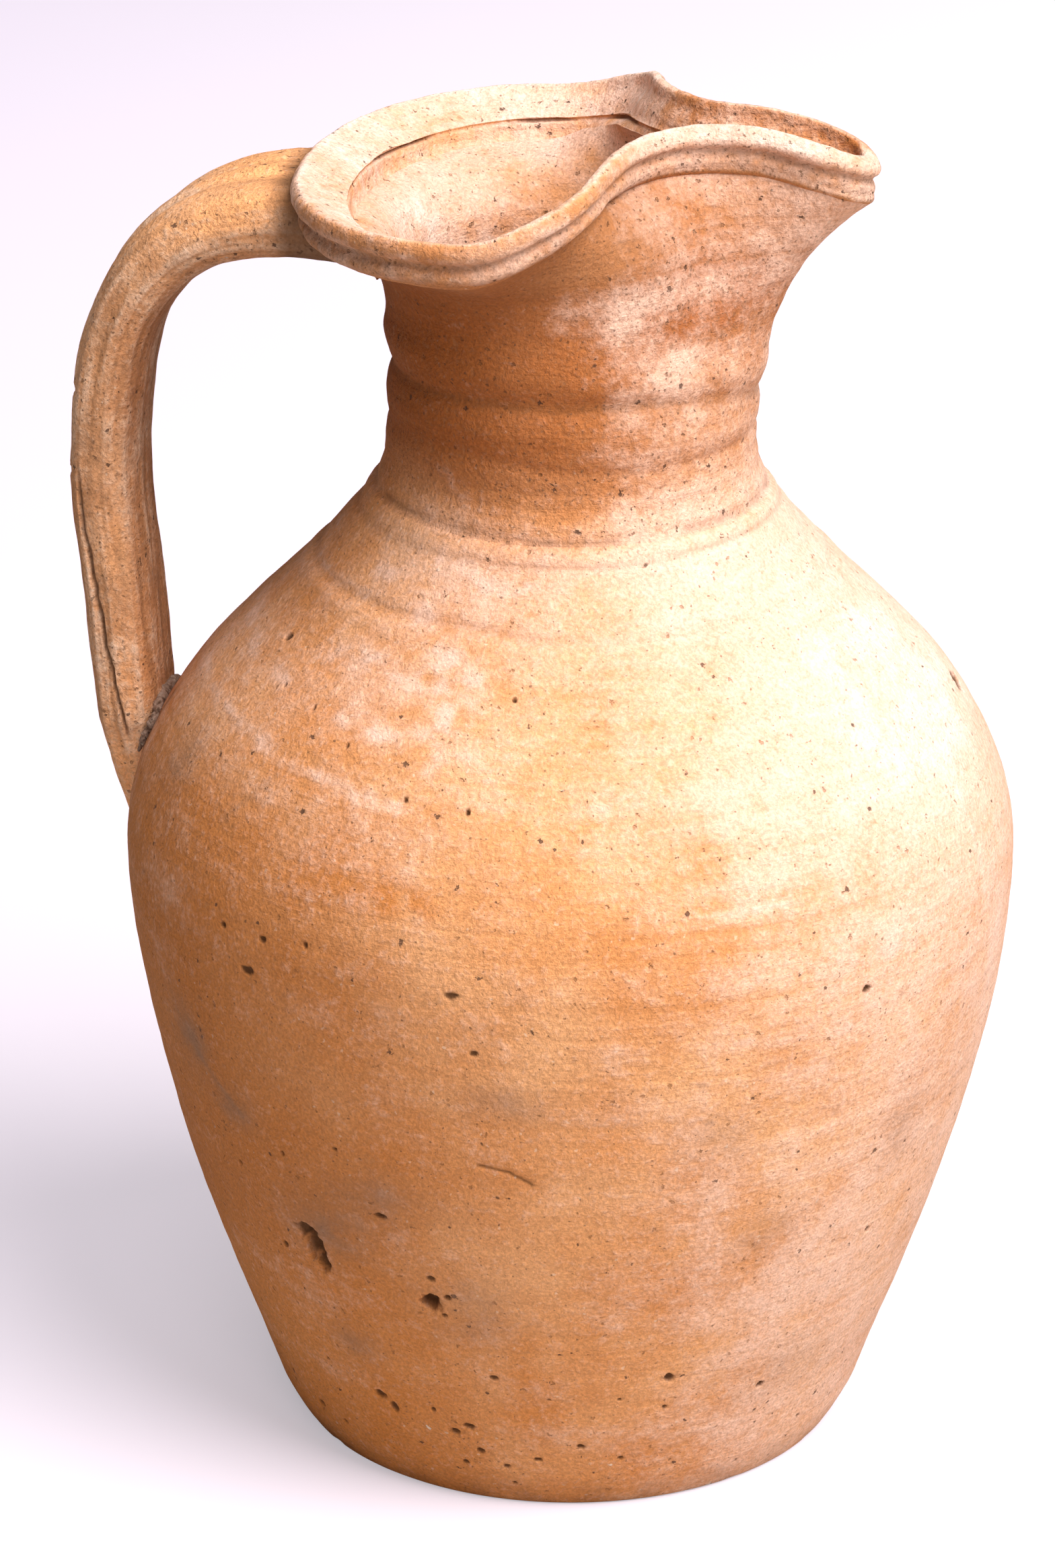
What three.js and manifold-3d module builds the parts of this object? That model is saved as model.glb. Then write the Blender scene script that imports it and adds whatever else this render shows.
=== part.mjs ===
// A trefoil-mouth jug of wheel-thrown terracotta, built as its potter built it: a floor disc, a lower body
// and a shoulder joined at the belly, a neck that opens into a pinched mouth, a folded rim collar on the
// mouth's edge, a strap handle, and the two fillets of clay that lute it on. Each joint is a layer of slip.
//
// Millimetres, +Z up. The origin is the centre of the foot, on the ground. The spout points along +X and the
// handle stands on the -X side, so the XZ plane is the jug's plane of symmetry.
import * as THREE from "three";
import { mergeVertices } from "three/addons/utils/BufferGeometryUtils.js";
import Module from "manifold-3d";

// Clay walls and joints
const slip = 0.3; // layer of slip in every joint
const floorThickness = 9;
const bodyWall = 7;
const neckWall = 6;

// Lower body, from the foot to the belly
const footRadius = 66.5;
const floorRadius = 59; // floor disc, on the ground
const floorBevel = 3; // how far the disc's edge leans out, from its lower face to its upper one
const heelRadius = 73;
const heelHeight = 10;
const flankRadius = 88; // point that the straight flank aims at
const flankHeight = 52;
const bellyRadius = 107.5;
const bellyHeight = 148;
const bellyBelow = 45; // how far below the belly the wall starts to turn upright
const toeHeight = 11; // inner fillet between the floor and the wall

// Shoulder, from the belly to the foot of the neck
const bellyAbove = 21; // how far above the belly the wall starts to turn in
const slopeRadius = 80; // middle of the slope
const slopeHeight = 202;
const slopeOut = 14; // the slope's direction at its middle, as a run outwards
const slopeDrop = 14; // and a drop
const neckRadius = 44;
const neckFootHeight = 248; // where the shoulder's sweep has become the upright neck
const neckSweep = 12; // how far below that the sweep starts to turn upright
const neckJointHeight = 238; // the groove where the neck was set on the shoulder

// Neck and mouth
const throatHeight = 260; // top of the round neck, where the wall starts to open
// How the wall opens over the throat, at the back and in the spout: a share that comes evenly with height,
// and how late the rest comes
const flareStraight = { back: 0.05, spout: 0.35 };
const flareBend = { back: 7, spout: 3.6 };
const boreBend = 9; // the same bend inside the back of the mouth, where the bore stays round for longer

// The rim's crest, seen from above: half an ellipse over the back of the mouth, then the pinch and the spout
const backReach = 63.6; // axis to the crest above the handle
const lobeHalfWidth = 70.2;
const lobeSet = 11; // how far behind the axis the mouth is widest
const lobeFullness = 2.12; // power of the ellipse, where 2 is a plain one
const pinchReach = 28;
const pinchHalfGap = 12.5;
const channelHalfWidth = 9.3;
const spoutReach = 69.5;
// Heights of the crest
const backCrest = 314.6;
const lobeCrest = 316.4;
const pinchCrest = 329.5;
const spoutCrest = 321;
// The crest's way from the lobe's side into the pinch, and from there to the spout's tip, as shares of the
// distance along the jug, across it and in height
const intoPinch = [
  { along: 0.54, across: 0.22, rise: 0.52 },
  { along: 0.74, across: 0.73, rise: 0.94 },
];
const intoTip = [
  { along: 0.4, across: 0, fall: 0.07 },
  { along: 0.72, across: 0, fall: 0.43 },
  { along: 0.93, across: 0.34, fall: 0.8 },
];

// Rim collar: its section runs outwards from the crest and down from it
const collarDepth = 11.5; // crest to the collar's lower edge
const beadDepth = 3.2; // crest to the upper bead
const beadProud = 1.2; // upper bead beyond the crest
const grooveDepth = 6;
const grooveSet = 1.2; // groove inside the crest
const lowerBeadDepth = 8.6;
const lowerBeadSet = 0.6;
const collarFoot = 3.6; // the collar's lower edge inside the crest
const spoutCollarFoot = -0.6; // the same in the spout, where it stands outside the crest
const spoutWall = 5; // the wall's thickness at the collar in the spout
const wallDrop = 1; // how much higher the wall's edge is on its inner side
const foldWidth = 12.5; // the folded band, over the back of the mouth
const foldDrop = 4.4;
const channelFoldWidth = 5.2; // the same band in the spout, where it stands steep
const channelFoldDrop = 7.5;
const foldStep = 2.2; // lip left by the fold's lower edge
const crestRound = { set: 0.8, rise: 0.1, shoulder: 0.4, shoulderDepth: 0.8, inner: 2.4, innerDepth: 0.5 };
const foldBow = { set: 0.6, drop: 0.55 }; // middle of the band, as shares of its width and drop
const spoutSwell = 2; // how far the collar moves out in the spout, where the clay was squeezed

// Strap handle: its middle line in the XZ plane, from inside the neck's wall to inside the shoulder's
const strapTopHeight = 301.8;
const strapTopRise = 0.5; // how much it still climbs beside the rim
const strapShoulderHeight = 296;
const strapBendHeight = 277.5;
const strapBendSet = 7; // its bend inside its furthest point
const strapProud = 3.9; // its furthest point beyond the belly
const strapReachHeight = 240;
const strapGrip = 23.4; // its furthest point beyond its shoulder
const strapDropHeight = 202.5; // halfway down to the foot
const strapDropBulge = 0.2; // its reach there beyond halfway
const strapFootHeight = 165;
const strapFootStand = 1.3; // its middle line at the foot beyond the jug's wall
const strapTailHeight = 145;
const strapTailSet = 3.3; // and at the tail's tip, inside the wall's outer face
// Its widths from the neck to the tip of the tail, with the share of its length at which it has each
const strapWidths = [
  { width: 50, at: 0 },
  { width: 47, at: 0.12 },
  { width: 35, at: 0.36 },
  { width: 30, at: 0.58 },
  { width: 28.5, at: 0.86 },
  { width: 17, at: 0.95 },
  { width: 4, at: 1 },
];
const strapThicknessTop = 20.4;
const strapThickness = 16;
const strapTailThickness = 9;
const strapSettles = 0.34; // share of its length by which the strap has thinned to its even thickness
const strapThins = 0.82; // and from which it thins out again into the tail
const strapRib = 1; // rise of the strap's middle rib

// Luting fillets under the strap's two ends, each as the finger's radius that hollowed it and its width
const seatFillet = 9;
const seatFilletWidth = 28;
const footFillet = 2.4;
const footFilletWidth = 19;

const roundSteps = 56; // facets round the body
const mouthSteps = 80; // facets round the neck and the mouth
const bandSteps = 6; // rings up each stretch of wall
const strapSteps = 28;
const outlineSteps = 60; // points along each stretch of the outline that a finger is fitted against
const strapMiddle = 0.5;

const wasm = await Module();
wasm.setup();

const clay = (name, colour, roughness) =>
  new THREE.MeshStandardMaterial({ name, color: colour, roughness, metalness: 0 });
const bodyClay = clay("terracotta", 0xd39a6c, 0.9);
const paleClay = clay("pale_slipped_terracotta", 0xdcb293, 0.92);
const handleClay = clay("handle_terracotta", 0xb57a50, 0.9);
const lutingClay = clay("grey_luting_clay", 0x9a8777, 0.95);

const evenShares = (steps) => Array.from({ length: steps + 1 }, (_, i) => i / steps);

const bezier = (...points) =>
  new THREE.CubicBezierCurve(...points.map(([r, z]) => new THREE.Vector2(r, z)));

// The body's outer profile as three curves of (radius, height)
const flank = bezier(
  [heelRadius, heelHeight],
  [flankRadius, flankHeight],
  [bellyRadius, bellyHeight - bellyBelow],
  [bellyRadius, bellyHeight],
);
const dome = bezier(
  [bellyRadius, bellyHeight],
  [bellyRadius, bellyHeight + bellyAbove],
  [slopeRadius + slopeOut, slopeHeight - slopeDrop],
  [slopeRadius, slopeHeight],
);
const sweep = bezier(
  [slopeRadius, slopeHeight],
  [slopeRadius - slopeOut, slopeHeight + slopeDrop],
  [neckRadius, neckFootHeight - neckSweep],
  [neckRadius, neckFootHeight],
);

// The point of a rising curve at one height
function atHeight(curve, height) {
  let low = 0;
  let high = 1;
  for (let i = 0; i < 40; i++) {
    const middle = (low + high) / 2;
    if (curve.getPoint(middle).y < height) low = middle;
    else high = middle;
  }
  return low;
}

// Points of a curve between two of its parameters, each moved out along the curve's normal
function stretch(curve, from, to, out = 0, steps = bandSteps) {
  return evenShares(steps).map((share) => {
    const t = THREE.MathUtils.lerp(from, to, share);
    const along = curve.getTangent(t);
    return curve.getPoint(t).add(new THREE.Vector2(along.y, -along.x).multiplyScalar(out));
  });
}

// A closed profile of (radius, height) points, turned about the jug's axis
function turned(profile, steps = roundSteps) {
  const closed = [...profile, profile[0].clone()];
  return new THREE.LatheGeometry(closed, steps).rotateX(Math.PI / 2);
}

// A skin over rings of points, each ring with as many points as the next. The last ring joins the first, as
// round a tyre, or the two end rings are closed with flat fans.
function skin(rings, endless) {
  const count = rings[0].length;
  const points = rings.flat();
  const faces = [];
  const pairs = endless ? rings.length : rings.length - 1;
  for (let j = 0; j < pairs; j++) {
    for (let i = 0; i < count; i++) {
      const a = j * count + i;
      const b = j * count + ((i + 1) % count);
      const c = ((j + 1) % rings.length) * count + ((i + 1) % count);
      const d = ((j + 1) % rings.length) * count + i;
      faces.push(a, b, c, a, c, d);
    }
  }
  if (!endless) {
    for (const [j, turn] of [[0, 1], [rings.length - 1, 0]]) {
      const centre = points.length;
      const middle = rings[j].reduce((sum, p) => sum.add(p), new THREE.Vector3()).divideScalar(count);
      points.push(middle);
      for (let i = 0; i < count; i++) {
        const a = j * count + i;
        const b = j * count + ((i + 1) % count);
        faces.push(centre, turn ? b : a, turn ? a : b);
      }
    }
  }
  return new THREE.BufferGeometry().setFromPoints(points).setIndex(faces);
}

// Geometry to a manifold solid and back
function solid(geometry) {
  const bare = geometry.clone();
  bare.deleteAttribute("normal");
  bare.deleteAttribute("uv");
  const merged = mergeVertices(bare, 1e-3);
  const vertProperties = merged.attributes.position.array;
  const triVerts = new Uint32Array(merged.index.array);
  return new wasm.Manifold(new wasm.Mesh({ numProp: 3, vertProperties, triVerts }));
}

function geometryOf(made) {
  const mesh = made.getMesh();
  return new THREE.BufferGeometry()
    .setAttribute("position", new THREE.BufferAttribute(mesh.vertProperties, 3))
    .setIndex(new THREE.BufferAttribute(mesh.triVerts, 1));
}

// Floor disc: flat on both faces, with a bevelled edge that wedges it into the lower body
function floorDisc() {
  return turned([
    new THREE.Vector2(0, 0),
    new THREE.Vector2(floorRadius, 0),
    new THREE.Vector2(floorRadius + floorBevel, floorThickness),
    new THREE.Vector2(0, floorThickness),
  ]);
}

// Lower body: foot, rounded heel, flank and the lower half of the belly
function lowerBody() {
  const toe = atHeight(flank, floorThickness + toeHeight);
  return turned([
    new THREE.Vector2(floorRadius + slip, 0),
    new THREE.Vector2(footRadius, 0),
    new THREE.Vector2(footRadius + (heelRadius - footRadius) * 0.45, heelHeight * 0.35),
    ...stretch(flank, 0, 1),
    ...stretch(flank, 1, toe, -bodyWall),
    new THREE.Vector2(floorRadius + floorBevel + slip, floorThickness),
  ]);
}

// Shoulder: the upper half of the belly, closing in to the seat of the neck
function shoulder() {
  const start = atHeight(dome, bellyHeight + slip);
  const seat = atHeight(sweep, neckJointHeight);
  const outside = [...stretch(dome, start, 1), ...stretch(sweep, 0, seat).slice(1)];
  const inside = [...stretch(sweep, seat, 0, -neckWall), ...stretch(dome, 1, start, -bodyWall).slice(1)];
  for (const end of [inside[0], inside[inside.length - 1]]) {
    end.y = end === inside[0] ? neckJointHeight : bellyHeight + slip;
  }
  return turned([...outside, ...inside]);
}

// The crest of the rim, as one closed curve in space
function crestCurve() {
  const lobe = (degrees, height) => {
    const turn = THREE.MathUtils.degToRad(degrees);
    const reach = backReach - lobeSet;
    const rounded = (x) => Math.sign(x) * Math.abs(x) ** (2 / lobeFullness);
    return [-lobeSet + reach * rounded(Math.cos(turn)), lobeHalfWidth * rounded(Math.sin(turn)), height];
  };
  const mid = THREE.MathUtils.lerp;
  const half = [
    lobe(180, backCrest),
    lobe(157, mid(backCrest, lobeCrest, 0.1)),
    lobe(133, mid(backCrest, lobeCrest, 0.3)),
    lobe(110, mid(backCrest, lobeCrest, 0.5)),
    lobe(88, lobeCrest),
    ...intoPinch.map(({ along, across, rise }) => [
      mid(-lobeSet, pinchReach, along),
      mid(lobeHalfWidth, pinchHalfGap, across),
      mid(lobeCrest, pinchCrest, rise),
    ]),
    [pinchReach, pinchHalfGap, pinchCrest],
    ...intoTip.map(({ along, across, fall }) => [
      mid(pinchReach, spoutReach, along),
      mid(channelHalfWidth, 0, across),
      mid(pinchCrest, spoutCrest, fall),
    ]),
    [spoutReach, 0, spoutCrest],
  ];
  const otherHalf = half.slice(1, -1).reverse().map(([x, y, z]) => [x, -y, z]);
  const points = [...half, ...otherHalf].map(([x, y, z]) => new THREE.Vector3(x, y, z));
  return new THREE.CatmullRomCurve3(points, true, "centripetal");
}

// Even steps along the crest, from above the handle and round by +Y, each with its outward direction and how
// much of a spout it is, from 0 over the back of the mouth to 1 in the channel
function crestStations() {
  const curve = crestCurve();
  const points = curve.getSpacedPoints(mouthSteps).slice(0, mouthSteps);
  return points.map((point, i) => {
    const before = points[(i + mouthSteps - 1) % mouthSteps];
    const after = points[(i + 1) % mouthSteps];
    const along = after.clone().sub(before).setZ(0).normalize();
    const spout = THREE.MathUtils.smoothstep(point.x, pinchReach - lobeSet - 6, pinchReach + 4);
    return { point, out: new THREE.Vector3(-along.y, along.x, 0), spout };
  });
}
const stations = crestStations();

// The point that lies outwards of the crest and down from it
const offCrest = ({ point, out }, outwards, down) =>
  point.clone().addScaledVector(out, outwards).setZ(point.z - down);

// The collar's section at one station, from its foot up over the beads and the crest to the fold inside, as
// [outwards, down] pairs. It narrows in the spout.
function collarSection({ spout }, grow = 0) {
  const swell = spoutSwell * spout;
  const fold = THREE.MathUtils.lerp(foldWidth, channelFoldWidth, spout);
  const drop = THREE.MathUtils.lerp(foldDrop, channelFoldDrop, spout);
  const foot = collarFootAt(spout);
  return [
    [-foot.outer + grow, collarDepth + grow],
    [swell - lowerBeadSet + grow, lowerBeadDepth],
    [swell - grooveSet + grow, grooveDepth],
    [swell + beadProud + grow, beadDepth],
    [swell / 2 + crestRound.shoulder + grow, crestRound.shoulderDepth],
    [-crestRound.set, -crestRound.rise - grow],
    [swell / 2 - crestRound.inner, crestRound.innerDepth - grow],
    [-fold * foldBow.set, drop * foldBow.drop - grow],
    [-fold, drop],
    [-fold, drop + foldStep],
    [-foot.inner - grow, collarDepth - wallDrop + grow],
  ];
}

const crestPoint = 5; // the section's point on the crest, with its outer face before it

// Where the collar's foot, and so the top of the neck's wall, lies inside the crest
function collarFootAt(spout) {
  const outer = THREE.MathUtils.lerp(collarFoot, spoutCollarFoot, spout);
  return { outer, inner: outer + THREE.MathUtils.lerp(neckWall, spoutWall, spout) };
}

// Rim collar: the lip of clay folded in over the mouth's edge, with two beads and a groove round its outside
function rimCollar(grow = 0) {
  const sections = stations.map((station) =>
    collarSection(station, grow).map(([outwards, down]) => offCrest(station, outwards, down)),
  );
  return skin(sections, true);
}

// A ring of the mouth's wall, between the round throat and the collar. The outer skin grows outwards by a
// margin where it is used as a cutter.
function mouthRing(share, inner, grow = 0) {
  const radius = (inner ? neckRadius - neckWall : neckRadius) + grow;
  return stations.map((station, i) => {
    const turn = Math.PI - (2 * Math.PI * i) / mouthSteps;
    const throat = new THREE.Vector3(radius * Math.cos(turn), radius * Math.sin(turn), throatHeight);
    const foot = collarFootAt(station.spout);
    const top = inner
      ? offCrest(station, -foot.inner, collarDepth - wallDrop + slip)
      : offCrest(station, grow - foot.outer, collarDepth + slip);
    const height = THREE.MathUtils.lerp(throat.z, top.z, share);
    const straight = THREE.MathUtils.lerp(flareStraight.back, flareStraight.spout, station.spout);
    const bend = THREE.MathUtils.lerp(inner ? boreBend : flareBend.back, flareBend.spout, station.spout);
    return throat.clone().lerp(top, straight * share + (1 - straight) * share ** bend).setZ(height);
  });
}

// One level ring of the round neck
function neckRing(radius, height) {
  return stations.map((_, i) => {
    const turn = Math.PI - (2 * Math.PI * i) / mouthSteps;
    return new THREE.Vector3(radius * Math.cos(turn), radius * Math.sin(turn), height);
  });
}

// Neck and mouth: one thrown piece, round at its foot and pinched to a trefoil at its top
function neck() {
  const seat = atHeight(sweep, neckJointHeight + slip);
  const outside = stretch(sweep, seat, 1, 0, 3).map((p) => neckRing(p.x, p.y));
  const inside = stretch(sweep, 1, seat, -neckWall, 3).map((p) => neckRing(p.x, p.y));
  inside[inside.length - 1].forEach((p) => p.setZ(neckJointHeight + slip));
  const shares = evenShares(bandSteps);
  const rings = [
    ...outside,
    ...shares.map((share) => mouthRing(share, false)),
    ...shares.toReversed().map((share) => mouthRing(share, true)),
    ...inside,
  ];
  return skin(rings.map((ring) => ring.toReversed()), true);
}

// The radius of the body's outer face at one height of the dome over the belly
const domeRadius = (height) => dome.getPoint(atHeight(dome, height)).x;

// The strap's middle line, with its ends running on inside the neck and the shoulder
function strapLine() {
  const reach = bellyRadius + strapProud;
  const shoulderReach = reach - strapGrip;
  const footReach = domeRadius(strapFootHeight) + strapFootStand;
  const points = [
    [neckRadius, strapTopHeight],
    [(neckRadius + shoulderReach) / 2, strapTopHeight + strapTopRise],
    [shoulderReach, strapShoulderHeight],
    [reach - strapBendSet, strapBendHeight],
    [reach, strapReachHeight],
    [(reach + footReach) / 2 + strapDropBulge, strapDropHeight],
    [footReach, strapFootHeight],
    [bellyRadius - strapTailSet, strapTailHeight],
  ];
  return new THREE.CatmullRomCurve3(points.map(([r, z]) => new THREE.Vector3(-r, 0, z)));
}

// The strap at one share of its length: its middle, its outward direction, its width and its thickness
function strapAt(line, t) {
  const along = line.getTangentAt(t);
  const k = Math.min(strapWidths.length - 2, strapWidths.findLastIndex(({ at }) => at <= t));
  const [from, to] = strapWidths.slice(k, k + 2);
  const settled = THREE.MathUtils.lerp(strapThicknessTop, strapThickness, Math.min(1, t / strapSettles));
  const thinned = THREE.MathUtils.smoothstep(t, strapThins, 1);
  return {
    centre: line.getPointAt(t),
    outwards: new THREE.Vector3(along.z, 0, -along.x),
    width: THREE.MathUtils.mapLinear(t, from.at, to.at, from.width, to.width),
    thickness: THREE.MathUtils.lerp(settled, strapTailThickness, thinned),
  };
}

// Half of the strap's section as [share of half width, share of half thickness], from the middle of its outer
// face round its edge to the middle of its inner face
const strapHalf = [
  [0, 1],
  [0.22, 0.9],
  [0.45, 0.97],
  [0.7, 0.86],
  [0.88, 0.62],
  [0.95, 0.42],
  [1, 0.1],
  [0.97, -0.35],
  [0.85, -0.72],
  [0.6, -0.93],
  [0.3, -1],
  [0, -1],
];

function strapRing(line, t, grow) {
  const { centre, outwards, width, thickness } = strapAt(line, t);
  const mirrored = strapHalf.slice(1, -1).reverse().map(([across, up]) => [-across, up]);
  return [...strapHalf, ...mirrored].map(([across, up]) => {
    const rib = strapRib * Math.max(0, up) * (1 - Math.abs(across));
    const offset = outwards.clone().multiplyScalar(up * (thickness / 2 + grow) + rib);
    return centre.clone().add(offset).setY(across * (width / 2 + grow));
  });
}

function strap(grow = 0) {
  const line = strapLine();
  const rings = evenShares(strapSteps).map((share) => strapRing(line, share, grow));
  return solid(skin(rings, false));
}

// What the strap and its fillets are fitted against: the jug's outside as two full solids, one layer of slip
// larger. The upper one runs from the throat to the crest of the rim.
function fittedOutside() {
  const axis = (z) => new THREE.Vector2(0, z);
  const body = turned([
    axis(heelHeight),
    ...stretch(flank, 0, 1, slip),
    ...stretch(dome, 0, 1, slip).slice(1),
    ...stretch(sweep, 0, 1, slip).slice(1),
    axis(neckFootHeight),
  ]);
  const collarRing = (k) => stations.map((station) => offCrest(station, ...collarSection(station, slip)[k]));
  const collarSkin = Array.from({ length: crestPoint + 1 }, (_, k) => collarRing(crestPoint - k));
  const wallSkin = evenShares(bandSteps).toReversed().map((share) => mouthRing(share, false, slip));
  const mouth = skin([...collarSkin, ...wallSkin], false);
  return [body, mouth].map((geometry) => solid(geometry));
}

const withoutJug = (made) => fittedOutside().reduce((left, cutter) => left.subtract(cutter), made);

// The jug's outline behind the axis in the XZ plane, from the heel up to the collar
function backOutline() {
  const wall = [flank, dome, sweep].flatMap((curve) => stretch(curve, 0, 1, 0, outlineSteps));
  const mouth = evenShares(outlineSteps).map((share) => mouthRing(share, false)[0]);
  return [...wall.map((p) => new THREE.Vector3(-p.x, 0, p.y)), ...mouth];
}

// Where the potter's finger lies when it is pushed along under the strap, from its middle towards one end,
// until it touches the jug too
function fingerAxis(radius, end) {
  const line = strapLine();
  const outline = backOutline();
  const axisAt = (t) => {
    const { centre, outwards, thickness } = strapAt(line, t);
    return centre.clone().addScaledVector(outwards, -thickness / 2 - radius);
  };
  const free = (t) => outline.every((point) => point.distanceTo(axisAt(t)) > radius);
  let t = strapMiddle;
  let step = (end - strapMiddle) / outlineSteps;
  while (Math.abs(step) > 1e-5) {
    if (free(t + step)) t += step;
    else step /= 2;
  }
  return axisAt(t);
}

// A fillet of luting clay in such a corner: a block across part of the strap's width, hollowed by the finger.
// The block's reach to each side of the finger's axis is given in finger radii.
function fillet(radius, width, axis, { inward, outward, up, down }) {
  const block = new THREE.BoxGeometry((inward + outward) * radius, width, (up + down) * radius);
  block.translate(axis.x + ((inward - outward) / 2) * radius, 0, axis.z + ((up - down) / 2) * radius);
  const finger = new THREE.CylinderGeometry(radius, radius, width * 2, 40).translate(axis.x, 0, axis.z);
  return withoutJug(solid(block).subtract(solid(finger)).subtract(strap(slip)));
}

const seatBlock = { inward: 1.4, outward: 0, up: 1.2, down: 0 };
const footBlock = { inward: 1.4, outward: 1.4, up: 0, down: 3 };
const seatLute = () => fillet(seatFillet, seatFilletWidth, fingerAxis(seatFillet, 0), seatBlock);
const footLute = () => fillet(footFillet, footFilletWidth, fingerAxis(footFillet, 1), footBlock);

function piece(name, geometry, material) {
  const mesh = new THREE.Mesh(geometry, material);
  mesh.name = name;
  return mesh;
}

const jug = new THREE.Group();
jug.add(
  piece("floor_disc", floorDisc(), bodyClay),
  piece("lower_body", lowerBody(), bodyClay),
  piece("shoulder", shoulder(), bodyClay),
  piece("neck", neck(), paleClay),
  piece("rim_collar", rimCollar(), paleClay),
  piece("handle_strap", geometryOf(withoutJug(strap())), handleClay),
  piece("handle_seat_lute", geometryOf(seatLute()), handleClay),
  piece("handle_foot_lute", geometryOf(footLute()), lutingClay),
);

export default jug;
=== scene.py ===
"""A trefoil-mouth jug of orange terracotta on a white ground.

The jug is one thrown skin, worked out as a grid of rows round its axis: up the outside from the foot to
the crest of the rim, over the fold and down the inside. The rows are cut into the pieces that the potter
joined. Geometry is worked out in millimetres and turned into metres when a mesh is made. Angles round the
jug are in degrees from the spout, and every draw of random numbers is seeded.
"""

import bmesh
import bpy
import numpy as np
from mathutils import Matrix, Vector


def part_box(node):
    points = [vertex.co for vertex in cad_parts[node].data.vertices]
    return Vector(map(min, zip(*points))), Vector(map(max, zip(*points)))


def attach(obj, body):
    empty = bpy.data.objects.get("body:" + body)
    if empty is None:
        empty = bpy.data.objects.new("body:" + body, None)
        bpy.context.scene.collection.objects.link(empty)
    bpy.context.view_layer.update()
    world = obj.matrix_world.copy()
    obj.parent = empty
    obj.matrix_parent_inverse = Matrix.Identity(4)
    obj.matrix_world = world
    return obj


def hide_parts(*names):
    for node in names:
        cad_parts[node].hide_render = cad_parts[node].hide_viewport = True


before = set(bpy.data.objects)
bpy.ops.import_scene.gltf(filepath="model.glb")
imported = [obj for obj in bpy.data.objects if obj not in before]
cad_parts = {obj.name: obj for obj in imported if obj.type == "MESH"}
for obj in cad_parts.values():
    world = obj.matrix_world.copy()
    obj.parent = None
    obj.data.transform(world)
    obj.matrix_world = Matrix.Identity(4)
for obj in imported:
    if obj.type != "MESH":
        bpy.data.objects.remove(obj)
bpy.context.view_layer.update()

MM = 0.001


def box_mm(node):
    """Lowest and highest corner of a node of the frame, in millimetres."""
    low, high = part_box(node)
    return np.array(low) / MM, np.array(high) / MM


# Sizes that the frame gives
BELLY_RADIUS = box_mm("lower_body")[1][0]
BELLY_HEIGHT = box_mm("lower_body")[1][2]
NECK_JOINT = box_mm("shoulder")[1][2]
FLOOR_THICKNESS = box_mm("floor_disc")[1][2]
CREST_TOP = box_mm("rim_collar")[1][2]

# Body, as in the solids
FOOT_RADIUS = 66.5
FLOOR_RADIUS = 59.0
HEEL = (73.0, 10.0)
FLANK = (88.0, 52.0)
BELLY_BELOW = 45.0
BELLY_ABOVE = 21.0
SLOPE = (80.0, 202.0)
SLOPE_RUN = 14.0
NECK_RADIUS = 44.0
NECK_FOOT = 248.0
NECK_SWEEP = 12.0
BODY_WALL = 7.0
NECK_WALL = 6.0

# Mouth
THROAT = 260.0
BACK_REACH = 63.4
LOBE_HALF_WIDTH = 70.0
LOBE_SET = 11.0
LOBE_FULLNESS = 2.12
PINCH_REACH = 28.0
PINCH_HALF_GAP = 12.5
CHANNEL_HALF_WIDTH = 9.3
SPOUT_REACH = 69.3
BACK_CREST = 314.4
LOBE_CREST = 316.2
PINCH_CREST = CREST_TOP - 0.3
SPOUT_CREST = 320.8
COLLAR_DEPTH = 11.5

# Grid: columns round the jug, and the distance between rows
COLUMNS = 560
BODY_ROW = 1.2
NECK_ROW = 1.0
INSIDE_ROW = 7.0
MOUTH_ROWS = 44


def unit(vectors):
    """Vectors brought to length 1 along their last axis."""
    return vectors / np.maximum(np.linalg.norm(vectors, axis=-1, keepdims=True), 1e-9)


def noise(points, seed):
    """Gradient noise at points in unit cells, from about -1 to 1."""
    random = np.random.default_rng(seed)
    turns = random.permutation(256)
    slopes = unit(random.normal(size=(256, 3)))
    cell = np.floor(points).astype(int)
    part = points - cell
    fade = part**3 * (part * (part * 6 - 15) + 10)
    total = np.zeros(points.shape[:-1])
    for corner in np.ndindex(2, 2, 2):
        x, y, z = np.moveaxis(cell + corner, -1, 0)
        pick = turns[(turns[(turns[x & 255] + y) & 255] + z) & 255]
        weight = np.where(np.array(corner) == 1, fade, 1 - fade).prod(axis=-1)
        total += weight * ((part - corner) * slopes[pick]).sum(axis=-1)
    return 1.7 * total


def rough(points, size, seed, octaves=3):
    """Noise in several octaves; the coarsest has cells of the given size."""
    return sum(noise(points / size * 2**k, seed + k) / 2**k for k in range(octaves))


def smoothstep(x, low, high):
    t = np.clip((x - low) / (high - low), 0, 1)
    return t * t * (3 - 2 * t)


def lerp(a, b, share):
    return a + (b - a) * share


def band(x, centre, width):
    """A smooth hump: 1 at its centre and nearly 0 two widths away."""
    return np.exp(-(((x - centre) / width) ** 2))


def bezier(points, steps=200):
    p = np.array(points, float)
    t = np.linspace(0, 1, steps)[:, None]
    return (1 - t) ** 3 * p[0] + 3 * (1 - t) ** 2 * t * p[1] + 3 * (1 - t) * t**2 * p[2] + t**3 * p[3]


def even(line, step=None, count=None):
    """Points at even steps along a polyline."""
    run = np.r_[0, np.cumsum(np.linalg.norm(np.diff(line, axis=0), axis=1))]
    if count is None:
        count = max(2, int(round(run[-1] / step)) + 1)
    at = np.linspace(0, run[-1], count)
    return np.stack([np.interp(at, run, line[:, k]) for k in range(line.shape[1])], axis=1)


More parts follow.
